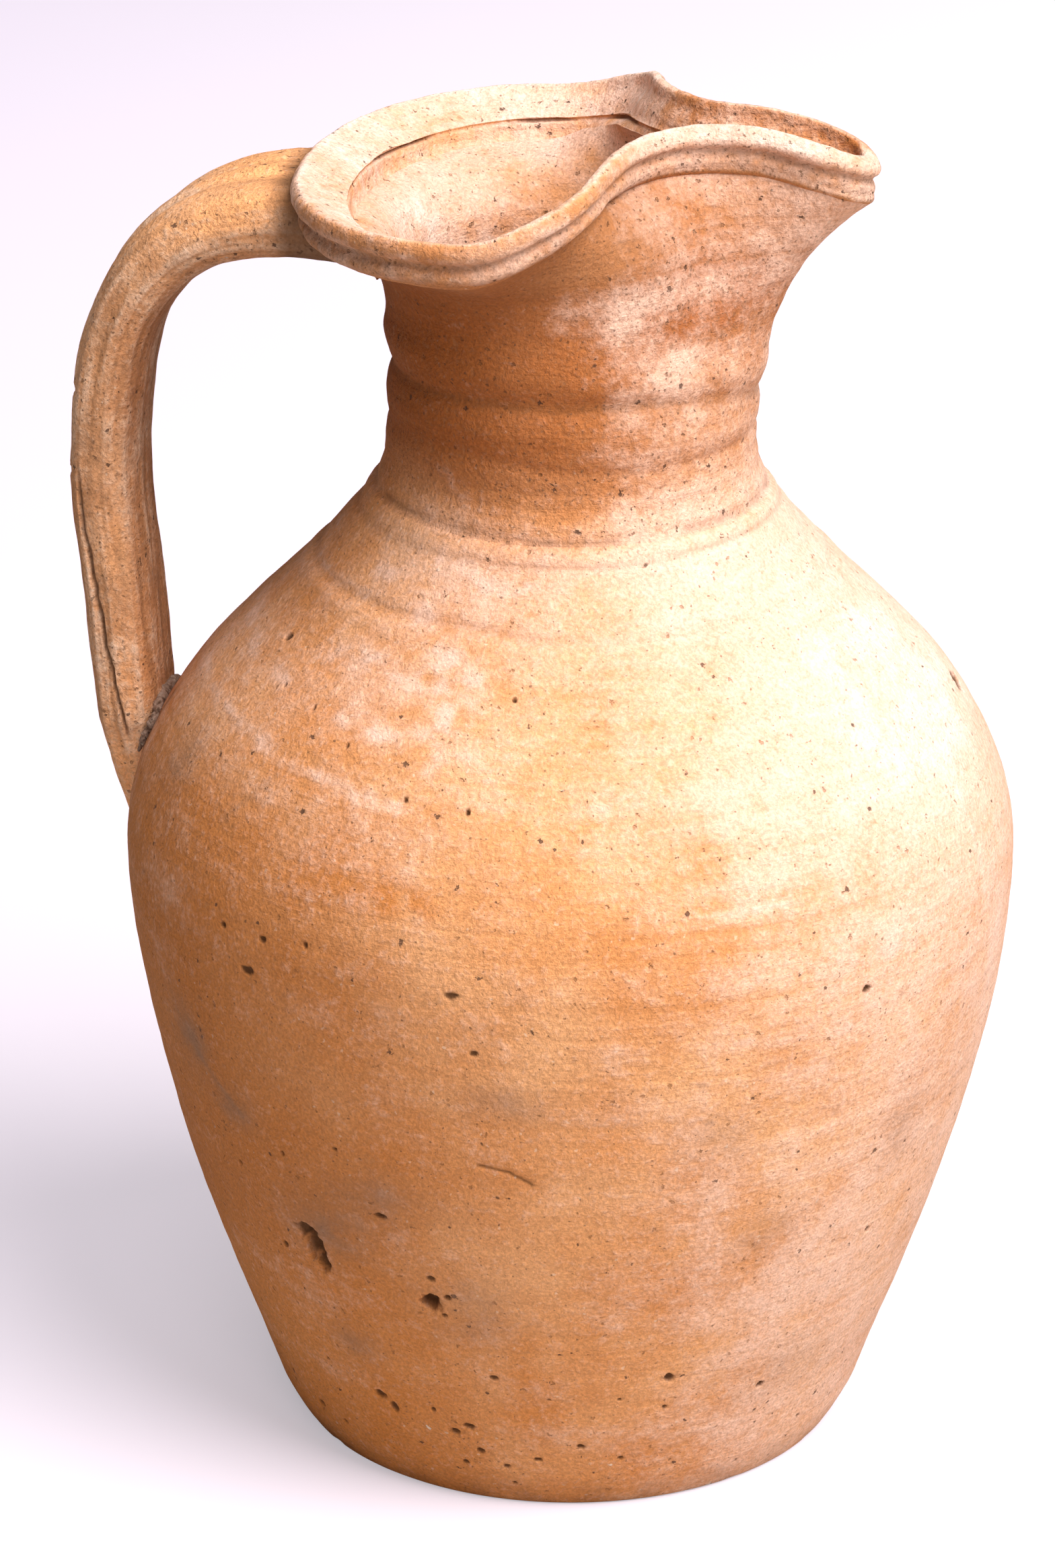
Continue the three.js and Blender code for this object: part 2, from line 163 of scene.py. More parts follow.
def catmull(points, closed, steps=24):
    """Centripetal Catmull-Rom curve through points."""
    p = np.array(points, float)
    if not closed:
        p = np.vstack([2 * p[0] - p[1], p, 2 * p[-1] - p[-2]])
    count = len(p) if closed else len(p) - 3
    out = []
    for i in range(count):
        a, b, c, d = (p[(i + k - 1) % len(p)] if closed else p[i + k] for k in range(4))
        t1 = np.sqrt(max(np.linalg.norm(b - a), 1e-6))
        t2 = t1 + np.sqrt(max(np.linalg.norm(c - b), 1e-6))
        t3 = t2 + np.sqrt(max(np.linalg.norm(d - c), 1e-6))
        t = np.linspace(t1, t2, steps, endpoint=False)[:, None]
        ab = a + (b - a) * t / t1
        bc = b + (c - b) * (t - t1) / (t2 - t1)
        cd = c + (d - c) * (t - t2) / (t3 - t2)
        abc = ab + (bc - ab) * t / t2
        bcd = bc + (cd - bc) * (t - t1) / (t3 - t1)
        out.append(abc + (bcd - abc) * (t - t1) / (t2 - t1))
    if not closed:
        out.append(p[-2:-1])
    return np.vstack(out)


ANGLE = np.pi - 2 * np.pi * np.arange(COLUMNS) / COLUMNS
ROUND = np.stack([np.cos(ANGLE), np.sin(ANGLE)], axis=1)


def level_ring(radius, height):
    return np.column_stack([radius * ROUND, np.full(COLUMNS, height)])


def crest_line():
    """The rim's crest: half an ellipse over the back of the mouth, then the pinch and the spout."""

    def full(v):
        return np.sign(v) * abs(v) ** (2 / LOBE_FULLNESS)

    def lobe(degrees, rise):
        turn = np.radians(degrees)
        reach = BACK_REACH - LOBE_SET
        height = lerp(BACK_CREST, LOBE_CREST, rise)
        return [-LOBE_SET + reach * full(np.cos(turn)), LOBE_HALF_WIDTH * full(np.sin(turn)), height]

    side = np.array([-LOBE_SET, LOBE_HALF_WIDTH, LOBE_CREST])
    pinch = np.array([PINCH_REACH, PINCH_HALF_GAP, PINCH_CREST])
    channel = np.array([PINCH_REACH, CHANNEL_HALF_WIDTH, PINCH_CREST])
    tip = np.array([SPOUT_REACH, 0, SPOUT_CREST])
    half = [lobe(*place) for place in ((180, 0), (157, 0.1), (133, 0.3), (110, 0.5), (88, 1))]
    half += [list(side + (pinch - side) * share) for share in ([0.54, 0.22, 0.52], [0.74, 0.73, 0.94])]
    half.append(list(pinch))
    into_tip = ([0.4, 0, 0.07], [0.72, 0, 0.43], [0.93, 0.34, 0.8])
    half += [list(channel + (tip - channel) * share) for share in into_tip]
    half.append(list(tip))
    other = [[x, -y, z] for x, y, z in half[-2:0:-1]]
    line = catmull(half + other, closed=True)
    return even(np.vstack([line, line[:1]]), count=COLUMNS + 1)[:-1]


def evened(values, reach):
    """Values round the crest, averaged over their neighbours."""
    steps = np.arange(-3 * reach, 3 * reach + 1)
    weights = np.exp(-((steps / reach) ** 2))
    return sum(w * np.roll(values, k, axis=0) for k, w in zip(steps, weights)) / weights.sum()


CREST = crest_line()
CREST = lerp(CREST, evened(CREST, 7), band(CREST[:, :1], PINCH_REACH, 9))
CREST = lerp(CREST, evened(CREST, 10), band(CREST[:, :1], PINCH_REACH - 14, 11))
CREST[:, 2] = lerp(CREST[:, 2], evened(CREST[:, 2], 15), band(CREST[:, 0], PINCH_REACH - 4, 15))
ALONG = unit((np.roll(CREST, -1, axis=0) - np.roll(CREST, 1, axis=0)) * [1, 1, 0])
OUT = np.column_stack([-ALONG[:, 1], ALONG[:, 0], np.zeros(COLUMNS)])
SOFT_OUT = unit(evened(OUT, 11))
SPOUT = smoothstep(CREST[:, 0], 11, 32)
PINCH = band(CREST[:, 0], PINCH_REACH, 11) * smoothstep(np.abs(CREST[:, 1]), 60, 30)


def off_crest(outwards, down):
    """The crest moved outwards and down; far inwards it takes softer directions, so that it can't fold."""
    inward = smoothstep(-outwards[:, None], 1, 8)
    moved = CREST + lerp(OUT, SOFT_OUT, inward) * outwards[:, None]
    moved[:, 2] -= down
    return moved


def crack_mask():
    """Where the fold's edge stands open, round the inside of the mouth."""
    turn = np.degrees(np.arctan2(CREST[:, 1], CREST[:, 0] + LOBE_SET))
    spans = ((128, 163, 0.9), (84, 106, 0.7), (44, 76, 1.0), (-60, -25, 0.4))
    return sum(depth * smoothstep(turn, a, a + 6) * smoothstep(turn, b, b - 6) for a, b, depth in spans)


CRACK = crack_mask()


def collar_sections():
    """The collar's section at every column, as [outwards, down] pairs from its foot outside, up over the two
    rolls and the crest, and down the fold to its foot inside."""
    swell = 2.0 * SPOUT
    sideways = smoothstep(np.abs(CREST[:, 1]), 15, 45) * (1 - SPOUT)
    corner = smoothstep(CREST[:, 0], -16, 14) * (1 - SPOUT)
    fold = lerp(lerp(lerp(12.2, 8.0, corner), 5.2, SPOUT), 7.4, PINCH * 0.6)
    drop = lerp(lerp(4.6, 8.6, SPOUT), 9.8, corner) + 0.8 * sideways * (1 - corner)
    deep = np.maximum(COLLAR_DEPTH - 1, drop + 2.8)
    wave = 0.35 * noise(CREST / 14 + 5, 31)
    foot = lerp(3.6, -0.6, SPOUT)
    inner = np.maximum(foot + lerp(7.5, 5.0, SPOUT), fold + lerp(1.4, 0.3, SPOUT))
    keys = [
        (-foot, COLLAR_DEPTH),
        (-foot * 0.55 + swell * 0.5, 10.6),
        (swell - 0.75 + wave, 9.4),
        (swell - 0.45 + wave, 8.3),
        (swell - 0.8, 7.1),
        (swell - 1.3, 6.2),
        (swell - 0.8, 5.3),
        (swell * 0.9 + 0.55, 4.4),
        (swell * 0.8 + 1.05, 3.1),
        (swell * 0.6 + 0.8, 1.7),
        (swell * 0.4 + 0.1, 0.6),
        (-0.9, 0.05),
        (-2.6 + swell * 0.4, 0.45),
        (-fold * 0.42, drop * 0.36),
        (-fold * 0.72, drop * 0.7),
        (-fold + 0.5, drop - 0.1),
        (-fold - 0.1, drop + 0.35),
        (-fold + 0.05 + 1.1 * CRACK, drop + 0.75),
        (-fold + 0.9 * CRACK, drop + 1.25),
        (-fold - 0.35, drop + 1.6 - 0.2 * CRACK),
        (-lerp(fold, inner, 0.6), lerp(drop, deep, 0.72)),
        (-inner, deep),
    ]
    every = np.zeros(COLUMNS)
    return np.array([np.column_stack([outwards + every, down + every]) for outwards, down in keys])


# Rows in each stretch of the collar's section between numbered keys, and the row of the crest itself
COLLAR_ROWS = [((0, 6), 12), ((6, 13), 22), ((13, 16), 16), ((16, 19), 10), ((19, 21), 8)]
CREST_ROW = 26
SECTION_STEPS = 8


def section_rows(keys):
    """Rows round the collar through its section's keys."""
    curve = np.stack([catmull(keys[:, i], closed=False, steps=SECTION_STEPS) for i in range(COLUMNS)], axis=1)
    stretches = []
    for (start, end), count in COLLAR_ROWS:
        part = curve[start * SECTION_STEPS : end * SECTION_STEPS + 1]
        share = np.linspace(0, len(part) - 1, count + 1)
        low = np.minimum(share.astype(int), len(part) - 2)
        mixed = part[low] + (part[low + 1] - part[low]) * (share - low)[:, None, None]
        stretches.append(mixed[1:] if stretches else mixed)
    bend = band(CREST[:, 0], 15, 15)
    made = []
    for row in np.vstack(stretches):
        ring = off_crest(row[:, 0], row[:, 1])
        share = (bend * smoothstep(-row[:, 0], 3, 9))[:, None]
        made.append(lerp(ring, evened(ring, 13), share))
    return np.array(made)


def mouth_rows(top, radius, bend):
    """Rows of the mouth's wall from the round throat up to the row where it meets the collar."""
    straight = lerp(0.05, 0.35, SPOUT)[:, None]
    base = level_ring(radius, THROAT)
    rows = []
    for share in np.linspace(0, 1, MOUTH_ROWS + 1):
        flare = straight * share + (1 - straight) * share**bend
        row = base + (top - base) * flare
        row[:, 2] = lerp(THROAT, top[:, 2], share)
        rows.append(row)
    return np.array(rows)


def profile_outside():
    """(radius, height) from the foot's bearing face up to the neck, in two parts that meet at the belly."""
    foot = bezier([(FOOT_RADIUS, 0.0), (FOOT_RADIUS + 1.8, 0.2), (HEEL[0] - 2.6, 4.6), HEEL], 40)
    flank = bezier([HEEL, FLANK, (BELLY_RADIUS, BELLY_HEIGHT - BELLY_BELOW), (BELLY_RADIUS, BELLY_HEIGHT)])
    near = (SLOPE[0] + SLOPE_RUN, SLOPE[1] - SLOPE_RUN)
    far = (SLOPE[0] - SLOPE_RUN, SLOPE[1] + SLOPE_RUN)
    dome = bezier([(BELLY_RADIUS, BELLY_HEIGHT), (BELLY_RADIUS, BELLY_HEIGHT + BELLY_ABOVE), near, SLOPE])
    sweep = bezier([SLOPE, far, (NECK_RADIUS, NECK_FOOT - NECK_SWEEP), (NECK_RADIUS, NECK_FOOT)])
    return np.vstack([foot, flank[1:]]), np.vstack([dome, sweep[1:]])


def outward_of(profile):
    """The directions out of a profile, as (radius, height)."""
    run = np.gradient(profile, axis=0)
    return unit(np.column_stack([run[:, 1], -run[:, 0]]))


def cut_at(profile, height):
    """A profile split at a height, with the height's own point in both parts."""
    point = np.array([np.interp(height, profile[:, 1], profile[:, 0]), height])
    below = profile[profile[:, 1] < height - 1e-6]
    over = profile[profile[:, 1] > height + 1e-6]
    return np.vstack([below, point]), np.vstack([point, over])


LOWER, UPPER = profile_outside()
SHOULDER, NECK = cut_at(UPPER, NECK_JOINT)
NECK = np.vstack([NECK, (NECK_RADIUS, THROAT)])
PROFILE = np.vstack([LOWER, SHOULDER[1:], NECK[1:]])
PROFILE_OUT = outward_of(PROFILE)


def body_radius(height):
    return np.interp(height, PROFILE[:, 1], PROFILE[:, 0])


def turning(degrees, pairs):
    """A value given at some angles round the jug and blended between them."""
    at, values = np.array(pairs).T
    return np.interp(degrees, at, values, period=360)


def degrees_of(points):
    return np.degrees(np.arctan2(points[..., 1], points[..., 0]))


def facing(degrees, angle, low, high):
    """1 on the side that looks towards an angle, and 0 where the cosine of the turn from it is below low."""
    return smoothstep(np.cos(np.radians(degrees - angle)), low, high)


def wrapped(degrees, height, cells, wave):
    """Places for noise that closes round the jug, scaled by cells round it and by a wave's height up it."""
    turn = np.radians(degrees)
    return np.column_stack([cells * np.cos(turn), cells * np.sin(turn), height / wave])


# Pits and chips on the outside: angle, height, half width, half height, depth
PITS = [
    (-121.2, 75.5, 3.2, 2.3, 1.5),
    (-120.2, 72.0, 2.7, 4.2, 3.2),
    (-119.2, 67.4, 2.0, 2.6, 2.0),
    (-101.4, 63.2, 2.5, 2.2, 3.4),
    (-98.5, 65.8, 0.8, 0.8, 1.2),
    (-106.9, 87.2, 1.7, 0.7, 1.1),
    (-129.1, 153.5, 0.9, 0.8, 0.8),
    (-121.9, 154.0, 1.3, 0.8, 0.7),
    (-115.0, 155.7, 0.7, 0.7, 0.7),
    (-124.4, 144.7, 2.2, 1.0, 0.6),
    (-115.0, 28.8, 1.4, 1.0, 1.0),
    (-112.5, 25.7, 1.2, 1.4, 1.0),
    (-98.1, 24.8, 1.3, 0.8, 0.9),
    (-100.9, 22.4, 1.2, 0.9, 0.8),
    (-96.7, 17.1, 1.0, 0.8, 0.8),
    (-104.5, 28.3, 0.7, 0.7, 0.6),
    (-134.4, 15.0, 1.3, 0.9, 0.8),
    (-78.2, 20.6, 0.9, 0.8, 0.8),
    (-40.9, 143.1, 1.2, 0.8, 1.0),
    (-63.9, 41.2, 1.4, 1.1, 1.1),
    (-46.0, 32.3, 1.1, 0.9, 0.9),
    (-31.3, 71.1, 0.8, 0.7, 0.8),
    (-146.5, 209.2, 1.09, 1.02, 0.9),
    (-95.0, 150.4, 1.6, 0.9, 0.6),
    (-92.2, 136.4, 1.0, 0.8, 0.5),
    (10.2, 186.9, 3.4, 2.4, 1.0),
    (-95.2, 188.8, 0.61, 0.54, 1.0),
    (-117.6, 196.8, 0.48, 0.48, 0.8),
    (-127.8, 201.1, 0.48, 0.48, 0.8),
    (-90.7, 209.4, 0.61, 0.41, 0.8),
    (-137.4, 202.3, 0.54, 0.48, 0.8),
    (-104.8, 189.7, 0.61, 0.54, 0.8),
    (-122.4, 97.0, 0.7, 0.6, 0.8),
    (-133.0, 87.5, 0.6, 0.6, 0.7),
    (-112.6, 103.8, 0.7, 0.5, 0.6),
    (-126.9, 68.0, 1.1, 0.8, 0.7),
    (-100.6, 71.0, 1.0, 0.8, 0.6),
    (-99.4, 60.0, 0.7, 0.6, 0.6),
    (-92.6, 42.0, 1.1, 0.8, 0.6),
    (-86.0, 16.0, 1.1, 0.7, 0.7),
    (-92.0, 13.0, 0.9, 0.6, 0.6),
    (-100.0, 12.5, 1.0, 0.7, 0.7),
    (140.0, 92.0, 2.2, 1.6, 1.6),
    (75.0, 160.0, 1.4, 1.0, 1.0),
    (58.0, 60.0, 1.8, 1.2, 1.4),
    (105.0, 34.0, 1.6, 1.1, 1.1),
    (162.0, 120.0, 1.2, 0.9, 0.9),
    (30.0, 110.0, 1.0, 0.8, 0.8),
]
# Small pits all round near the foot, at seeded places
SMALL_PITS = 36
rng = np.random.default_rng(7)
for _ in range(SMALL_PITS):
    size = rng.uniform(0.35, 0.75)
    PITS.append((rng.uniform(-180, 180), rng.uniform(7, 40), size * 1.3, size, size))

# A hairline crack, as (angle, height)
HAIR_CRACK = [(-92.2, 106.5), (-88.3, 105.3), (-85.2, 102.0)]

# Rings round the outside: half width, how far they stand out, and their height at some angles
RINGS = {
    "joint": (1.2, -0.95, [(-135, 239.4), (-92, 238.3), (-40, 238.9), (90, 238.6)]),
    "joint lip": (1.5, 0.35, [(-135, 236.8), (-92, 235.9), (-40, 236.6), (90, 236.2)]),
    "under joint": (0.9, -0.42, [(-106, 233.4), (-62, 234.0), (-36, 234.8), (120, 233.0)]),
    "slope": (0.9, -0.45, [(-156, 221.4), (-103, 221.7), (-88, 220.1), (-28, 219.7), (120, 220.6)]),
    "slope lip": (1.6, 0.3, [(-156, 218.8), (-88, 217.7), (-28, 217.2), (120, 218)]),
    "low neck": (1.5, -0.75, [(-112, 256.5), (-92, 254.9), (-59, 253.2), (100, 255)]),
    "low roll": (3.2, 0.75, [(-180, 262.0), (-92, 262.6), (-30, 258.5), (90, 260)]),
    "waist": (1.9, -1.1, [(-180, 268.7), (-92, 269.8), (-55, 269.6), (-20, 265.6), (0, 262.6), (90, 267)]),
    "high roll": (3.4, 1.1, [(-180, 276), (-92, 277), (-20, 271.8), (0, 269.8), (90, 274)]),
    "high neck": (4.0, -0.5, [(-180, 284), (-92, 285), (0, 280), (90, 284)]),
    "neck's foot": (1.2, 0.35, [(-140, 247.2), (-60, 246.4), (90, 247)]),
}


def local_mm(degrees, height, angle, centre):
    """Distances round and up from a place on the outside, in millimetres."""
    round_by = np.radians((degrees - angle + 180) % 360 - 180) * body_radius(centre)
    return round_by, height - centre


def pit_field(points, degrees, height):
    """Depth of the pits, and a mask of their insides, which the clay darkens as painted shade."""
    depth = np.zeros(len(points))
    dark = np.zeros(len(points))
    for k, (angle, centre, half, tall, deep) in enumerate(PITS):
        u, v = local_mm(degrees, height, angle, centre)
        near = (np.abs(u) < 12) & (np.abs(v) < 12)
        if not near.any():
            continue
        edge = 0.35 * noise(points[near] / 1.6, 90 + k)
        far = np.hypot(u[near] / half, v[near] / tall) * (1 + edge)
        depth[near] -= deep * smoothstep(far, 1.25, 0.55)
        dark[near] = np.maximum(dark[near], smoothstep(far, 1.15, 0.7))
    return depth, dark


def stroke(degrees, height, places, width):
    """Closeness to a line drawn through places (angle, height): 1 on it and 0 a width away."""
    best = np.full(degrees.shape, 1e9)
    for (a0, h0), (a1, h1) in zip(places, places[1:]):
        u, v = local_mm(degrees, height, a0, h0)
        du, dv = local_mm(np.array([a1]), np.array([h1]), a0, h0)
        length = max(float(np.hypot(du, dv)[0]), 1e-6)
        share = np.clip((u * du + v * dv) / length**2, 0, 1)
        best = np.minimum(best, np.hypot(u - share * du, v - share * dv))
    return smoothstep(best, width, 0)


def blot(degrees, height, angle, centre, half, tall):
    """A soft patch round a place."""
    u, v = local_mm(degrees, height, angle, centre)
    return np.exp(-((u / half) ** 2) - (v / tall) ** 2)


def relief(points):
    """How far the outside stands out from its even curve, in millimetres: the potter's rings, the joints'
    grooves, dents and chips."""
    height = points[:, 2]
    degrees = degrees_of(points)
    upper = smoothstep(height, 196, 232)
    collar_near = smoothstep(height, 292, 302)
    wavy = 1.25 * noise(wrapped(degrees, height, 1.6, 60), 3)

    def wheel_marks(wave, seed):
        return noise(wrapped(degrees, height + wavy, 0.9, wave), seed)

    out = (0.10 + 0.22 * upper) * wheel_marks(7, 11)
    out += (0.13 + 0.18 * upper) * wheel_marks(17, 12)
    out += 0.045 * wheel_marks(2.6, 13)
    out += 0.22 * rough(points, 46, 21, 2) - 0.3
    out += 0.05 * rough(points, 5, 25, 2)
    # A flat place on the back of the belly
    out -= 0.9 * band(height, 103, 26) * band(degrees % 360, 188, 26)
    for width, tall, places in RINGS.values():
        centre = turning(degrees, places)
        vary = 0.8 + 0.35 * noise(wrapped(degrees, centre, 2.2, 30), 40)
        out += tall * vary * band(height, centre, width) * (1 - collar_near)
    # The neck is a little narrower on its left
    out -= 0.9 * band(height, 272, 16) * facing(degrees, 180, 0.2, 1)
    out -= 0.5 * stroke(degrees, height, HAIR_CRACK, 0.9)
    # Chips along the foot's edge
    chips = np.clip(rough(wrapped(degrees, height, 9, 4), 1, 51, 2) - 0.35, 0, 1)
    out -= 1.1 * chips * smoothstep(height, 5, 1)
    return out * (1 - 0.6 * collar_near)


# The skin's rows
def rings_of(profile, step):
    return np.array([level_ring(radius, height) for radius, height in even(profile, step)])


def inner_profiles():
    """The inside of the belly, the shoulder and the neck, a wall's thickness in from the outside."""
    wall = np.interp(PROFILE[:, 1], [0, 200, NECK_FOOT], [BODY_WALL, BODY_WALL, NECK_WALL])
    inside = PROFILE - wall[:, None] * PROFILE_OUT
    inside = inside[(inside[:, 1] > FLOOR_THICKNESS) & (inside[:, 1] < THROAT)]
    heel = np.interp(FLOOR_THICKNESS, inside[:, 1], inside[:, 0])
    inside = np.vstack([(heel, FLOOR_THICKNESS), inside, (NECK_RADIUS - NECK_WALL, THROAT)])
    belly, over = cut_at(inside, BELLY_HEIGHT)
    return belly, *cut_at(over, NECK_JOINT)


BELLY_IN, SHOULDER_IN, NECK_IN = inner_profiles()
COLLAR = section_rows(collar_sections())
stacks = {
    "lower": rings_of(LOWER, BODY_ROW),
    "shoulder": rings_of(SHOULDER, BODY_ROW)[1:],
    "neck": rings_of(NECK, NECK_ROW)[1:],
    "mouth": mouth_rows(COLLAR[0], NECK_RADIUS, lerp(7, 3.6, SPOUT)[:, None])[1:],
    "collar": COLLAR[1:],
    "mouth_in": mouth_rows(COLLAR[-1], NECK_RADIUS - NECK_WALL, 9)[::-1][1:],
    "neck_in": rings_of(NECK_IN, NECK_ROW)[::-1][1:],
    "shoulder_in": rings_of(SHOULDER_IN, INSIDE_ROW)[::-1][1:],
    "lower_in": rings_of(BELLY_IN, INSIDE_ROW)[::-1][1:],
}
SKIN = np.vstack(list(stacks.values()))
LAST = dict(zip(stacks, np.cumsum([len(rows) for rows in stacks.values()]) - 1))


def grid_normals(rows):
    up = np.gradient(rows, axis=0)
    aside = np.roll(rows, -1, axis=1) - np.roll(rows, 1, axis=1)
    return unit(np.cross(up, aside))


def shaped_skin():
    """The skin with its relief: rings and grooves outside, and softer rings inside."""
    flat = SKIN.reshape(-1, 3)
    out = np.zeros(len(flat))
    number = np.repeat(np.arange(len(SKIN)), COLUMNS)
    outer = number <= LAST["collar"]
    wall = number <= LAST["mouth"]
    out[wall] = relief(flat[wall])
    lip = outer & ~wall
    out[lip] = 0.22 * rough(flat[lip], 9, 61) + 0.07 * rough(flat[lip], 2.6, 65) - 0.15
    # The neck is rough, most of all under the near side of the spout
    throat = wall & (flat[:, 2] > 236)
    spout_side = band(degrees_of(flat[throat]), -30, 34) * smoothstep(flat[throat][:, 2], 262, 285)
    out[throat] += (0.06 + 0.13 * spout_side) * rough(flat[throat], 3.4, 67, 3)
    inner = ~outer
    degrees = degrees_of(flat[inner])
    height = flat[inner][:, 2]
    out[inner] = 0.35 * noise(wrapped(degrees, height, 0.8, 6), 71) + 0.12 * rough(flat[inner], 7, 72)
    out[inner] += 0.5 * band(height, 263 + 1.5 * np.sin(np.radians(degrees)), 1.3)
    # The foot's face stays flat, and nothing stands out past the belly's box
    out *= np.where(outer, smoothstep(flat[:, 2], 0, 1.5), 1)
    reach = np.hypot(flat[:, 0], flat[:, 1])
    out = np.where(wall, np.minimum(out, BELLY_RADIUS - 0.02 - reach), out)
    moved = flat + grid_normals(SKIN).reshape(-1, 3) * out[:, None]
    moved[:, 2] = np.clip(moved[:, 2], 0, CREST_TOP - 0.02)
    return moved.reshape(SKIN.shape)


SHAPED = shaped_skin()


# Meshes
def make_mesh(name, points, faces):
    mesh = bpy.data.meshes.new(name)
    mesh.from_pydata([tuple(p) for p in points * MM], [], faces)
    mesh.validate()
    mesh.update()
    made = bpy.data.objects.new(name, mesh)
    bpy.context.scene.collection.objects.link(made)
    return made


def tube_faces(rows, columns, closed=False):
    """Faces of a grid that closes round its columns, and along its rows too if it is closed."""
    number = np.arange(rows * columns).reshape(rows, columns)
    if closed:
        number = np.vstack([number, number[:1]])
    a, b = number[:-1], number[1:]
    quads = np.stack([a, b, np.roll(b, -1, axis=1), np.roll(a, -1, axis=1)], axis=-1)
    return quads.reshape(-1, 4).tolist()


def tube_piece(name, points, columns):
    """A closed piece from rings of points, with a flat face over each end."""
    last = len(points) - columns
    faces = tube_faces(len(points) // columns, columns)
    faces += [list(range(columns)), list(range(last, last + columns))[::-1]]
    made = make_mesh(name, points, faces)
    mesh = bmesh.new()
    mesh.from_mesh(made.data)
    bmesh.ops.recalc_face_normals(mesh, faces=mesh.faces)
    mesh.to_mesh(made.data)
    mesh.free()
    return made


def smooth(made, degrees):
    """Smooth shading that keeps the edges sharper than an angle."""
    mesh = made.data
    mesh.polygons.foreach_set("use_smooth", np.ones(len(mesh.polygons), bool))
    mesh.set_sharp_from_angle(angle=np.radians(degrees))
    mesh.update()


def rows_between(first, last):
    """The skin's rows from the last one of a stretch, or from its start, to the last one of another."""
    return SHAPED[LAST[first] if first else 0 : LAST[last] + 1]


def wall_piece(name, outer, *others):
    """A closed piece of the skin: its outer rows, then its inner rows and any rings that close its foot."""
    grid = np.vstack([outer, *others])
    made = make_mesh(name, grid.reshape(-1, 3), tube_faces(len(grid), COLUMNS, closed=True))
    layer = made.data.attributes.new("inside", "FLOAT", "POINT")
    inside = np.repeat(np.arange(len(grid)) >= len(outer), COLUMNS)
    layer.data.foreach_set("value", inside.astype(np.float32))
    return made


def points_of(made):
    flat = np.empty(len(made.data.vertices) * 3)
    made.data.vertices.foreach_get("co", flat)
    return flat.reshape(-1, 3) / MM


def is_inner(made):
    values = np.empty(len(made.data.vertices), np.float32)
    made.data.attributes["inside"].data.foreach_get("value", values)
    return values > 0.5


def refine(made, places):
    """Smaller faces round places given as (angle, height, reach)."""
    points = points_of(made)
    degrees, height = degrees_of(points), points[:, 2]
    skin = np.hypot(points[:, 0], points[:, 1]) > body_radius(height) - 3.5
    chosen = np.zeros(len(points), bool)
    for angle, centre, size in places:
        chosen |= skin & (np.hypot(*local_mm(degrees, height, angle, centre)) < size)
    mesh = bmesh.new()
    mesh.from_mesh(made.data)
    edges = [e for e in mesh.edges if chosen[e.verts[0].index] and chosen[e.verts[1].index]]
    bmesh.ops.subdivide_edges(mesh, edges=edges, cuts=2, use_grid_fill=True)
    bmesh.ops.triangulate(mesh, faces=[f for f in mesh.faces if len(f.verts) > 4])
    mesh.to_mesh(made.data)
    mesh.free()
    made.data.update()


def press_pits(made):
    """Presses the pits into the outside, and gives a mask of their insides, which the clay darkens as painted
    shade.
    """
    points = points_of(made)
    degrees, height = degrees_of(points), points[:, 2]
    inner = is_inner(made)
    depth, dark = (np.where(inner, 0, values) for values in pit_field(points, degrees, height))
    aside, up = (np.interp(height, PROFILE[:, 1], PROFILE_OUT[:, k]) for k in range(2))
    turn = np.radians(degrees)
    normal = np.column_stack([aside * np.cos(turn), aside * np.sin(turn), up])
    made.data.vertices.foreach_set("co", ((points + normal * depth[:, None]) * MM).ravel())
    made.data.update()
    return dark


# The clay reads these layers of every piece
# Besides the clay's own marks, these layers carry painted shade and painted highlight, noted where they are
# worked out
LAYERS = ("pale", "stain", "grey", "line", "pit", "dusk", "dirt")


def paint(made, **given):
    """Writes the layers from 0 to 1; those that aren't given are 0."""
    for name in LAYERS:
        values = np.zeros(len(made.data.vertices), np.float32)
        values[:] = np.clip(given.get(name, 0), 0, 1)
        made.data.attributes.new(name, "FLOAT", "POINT").data.foreach_set("value", values)


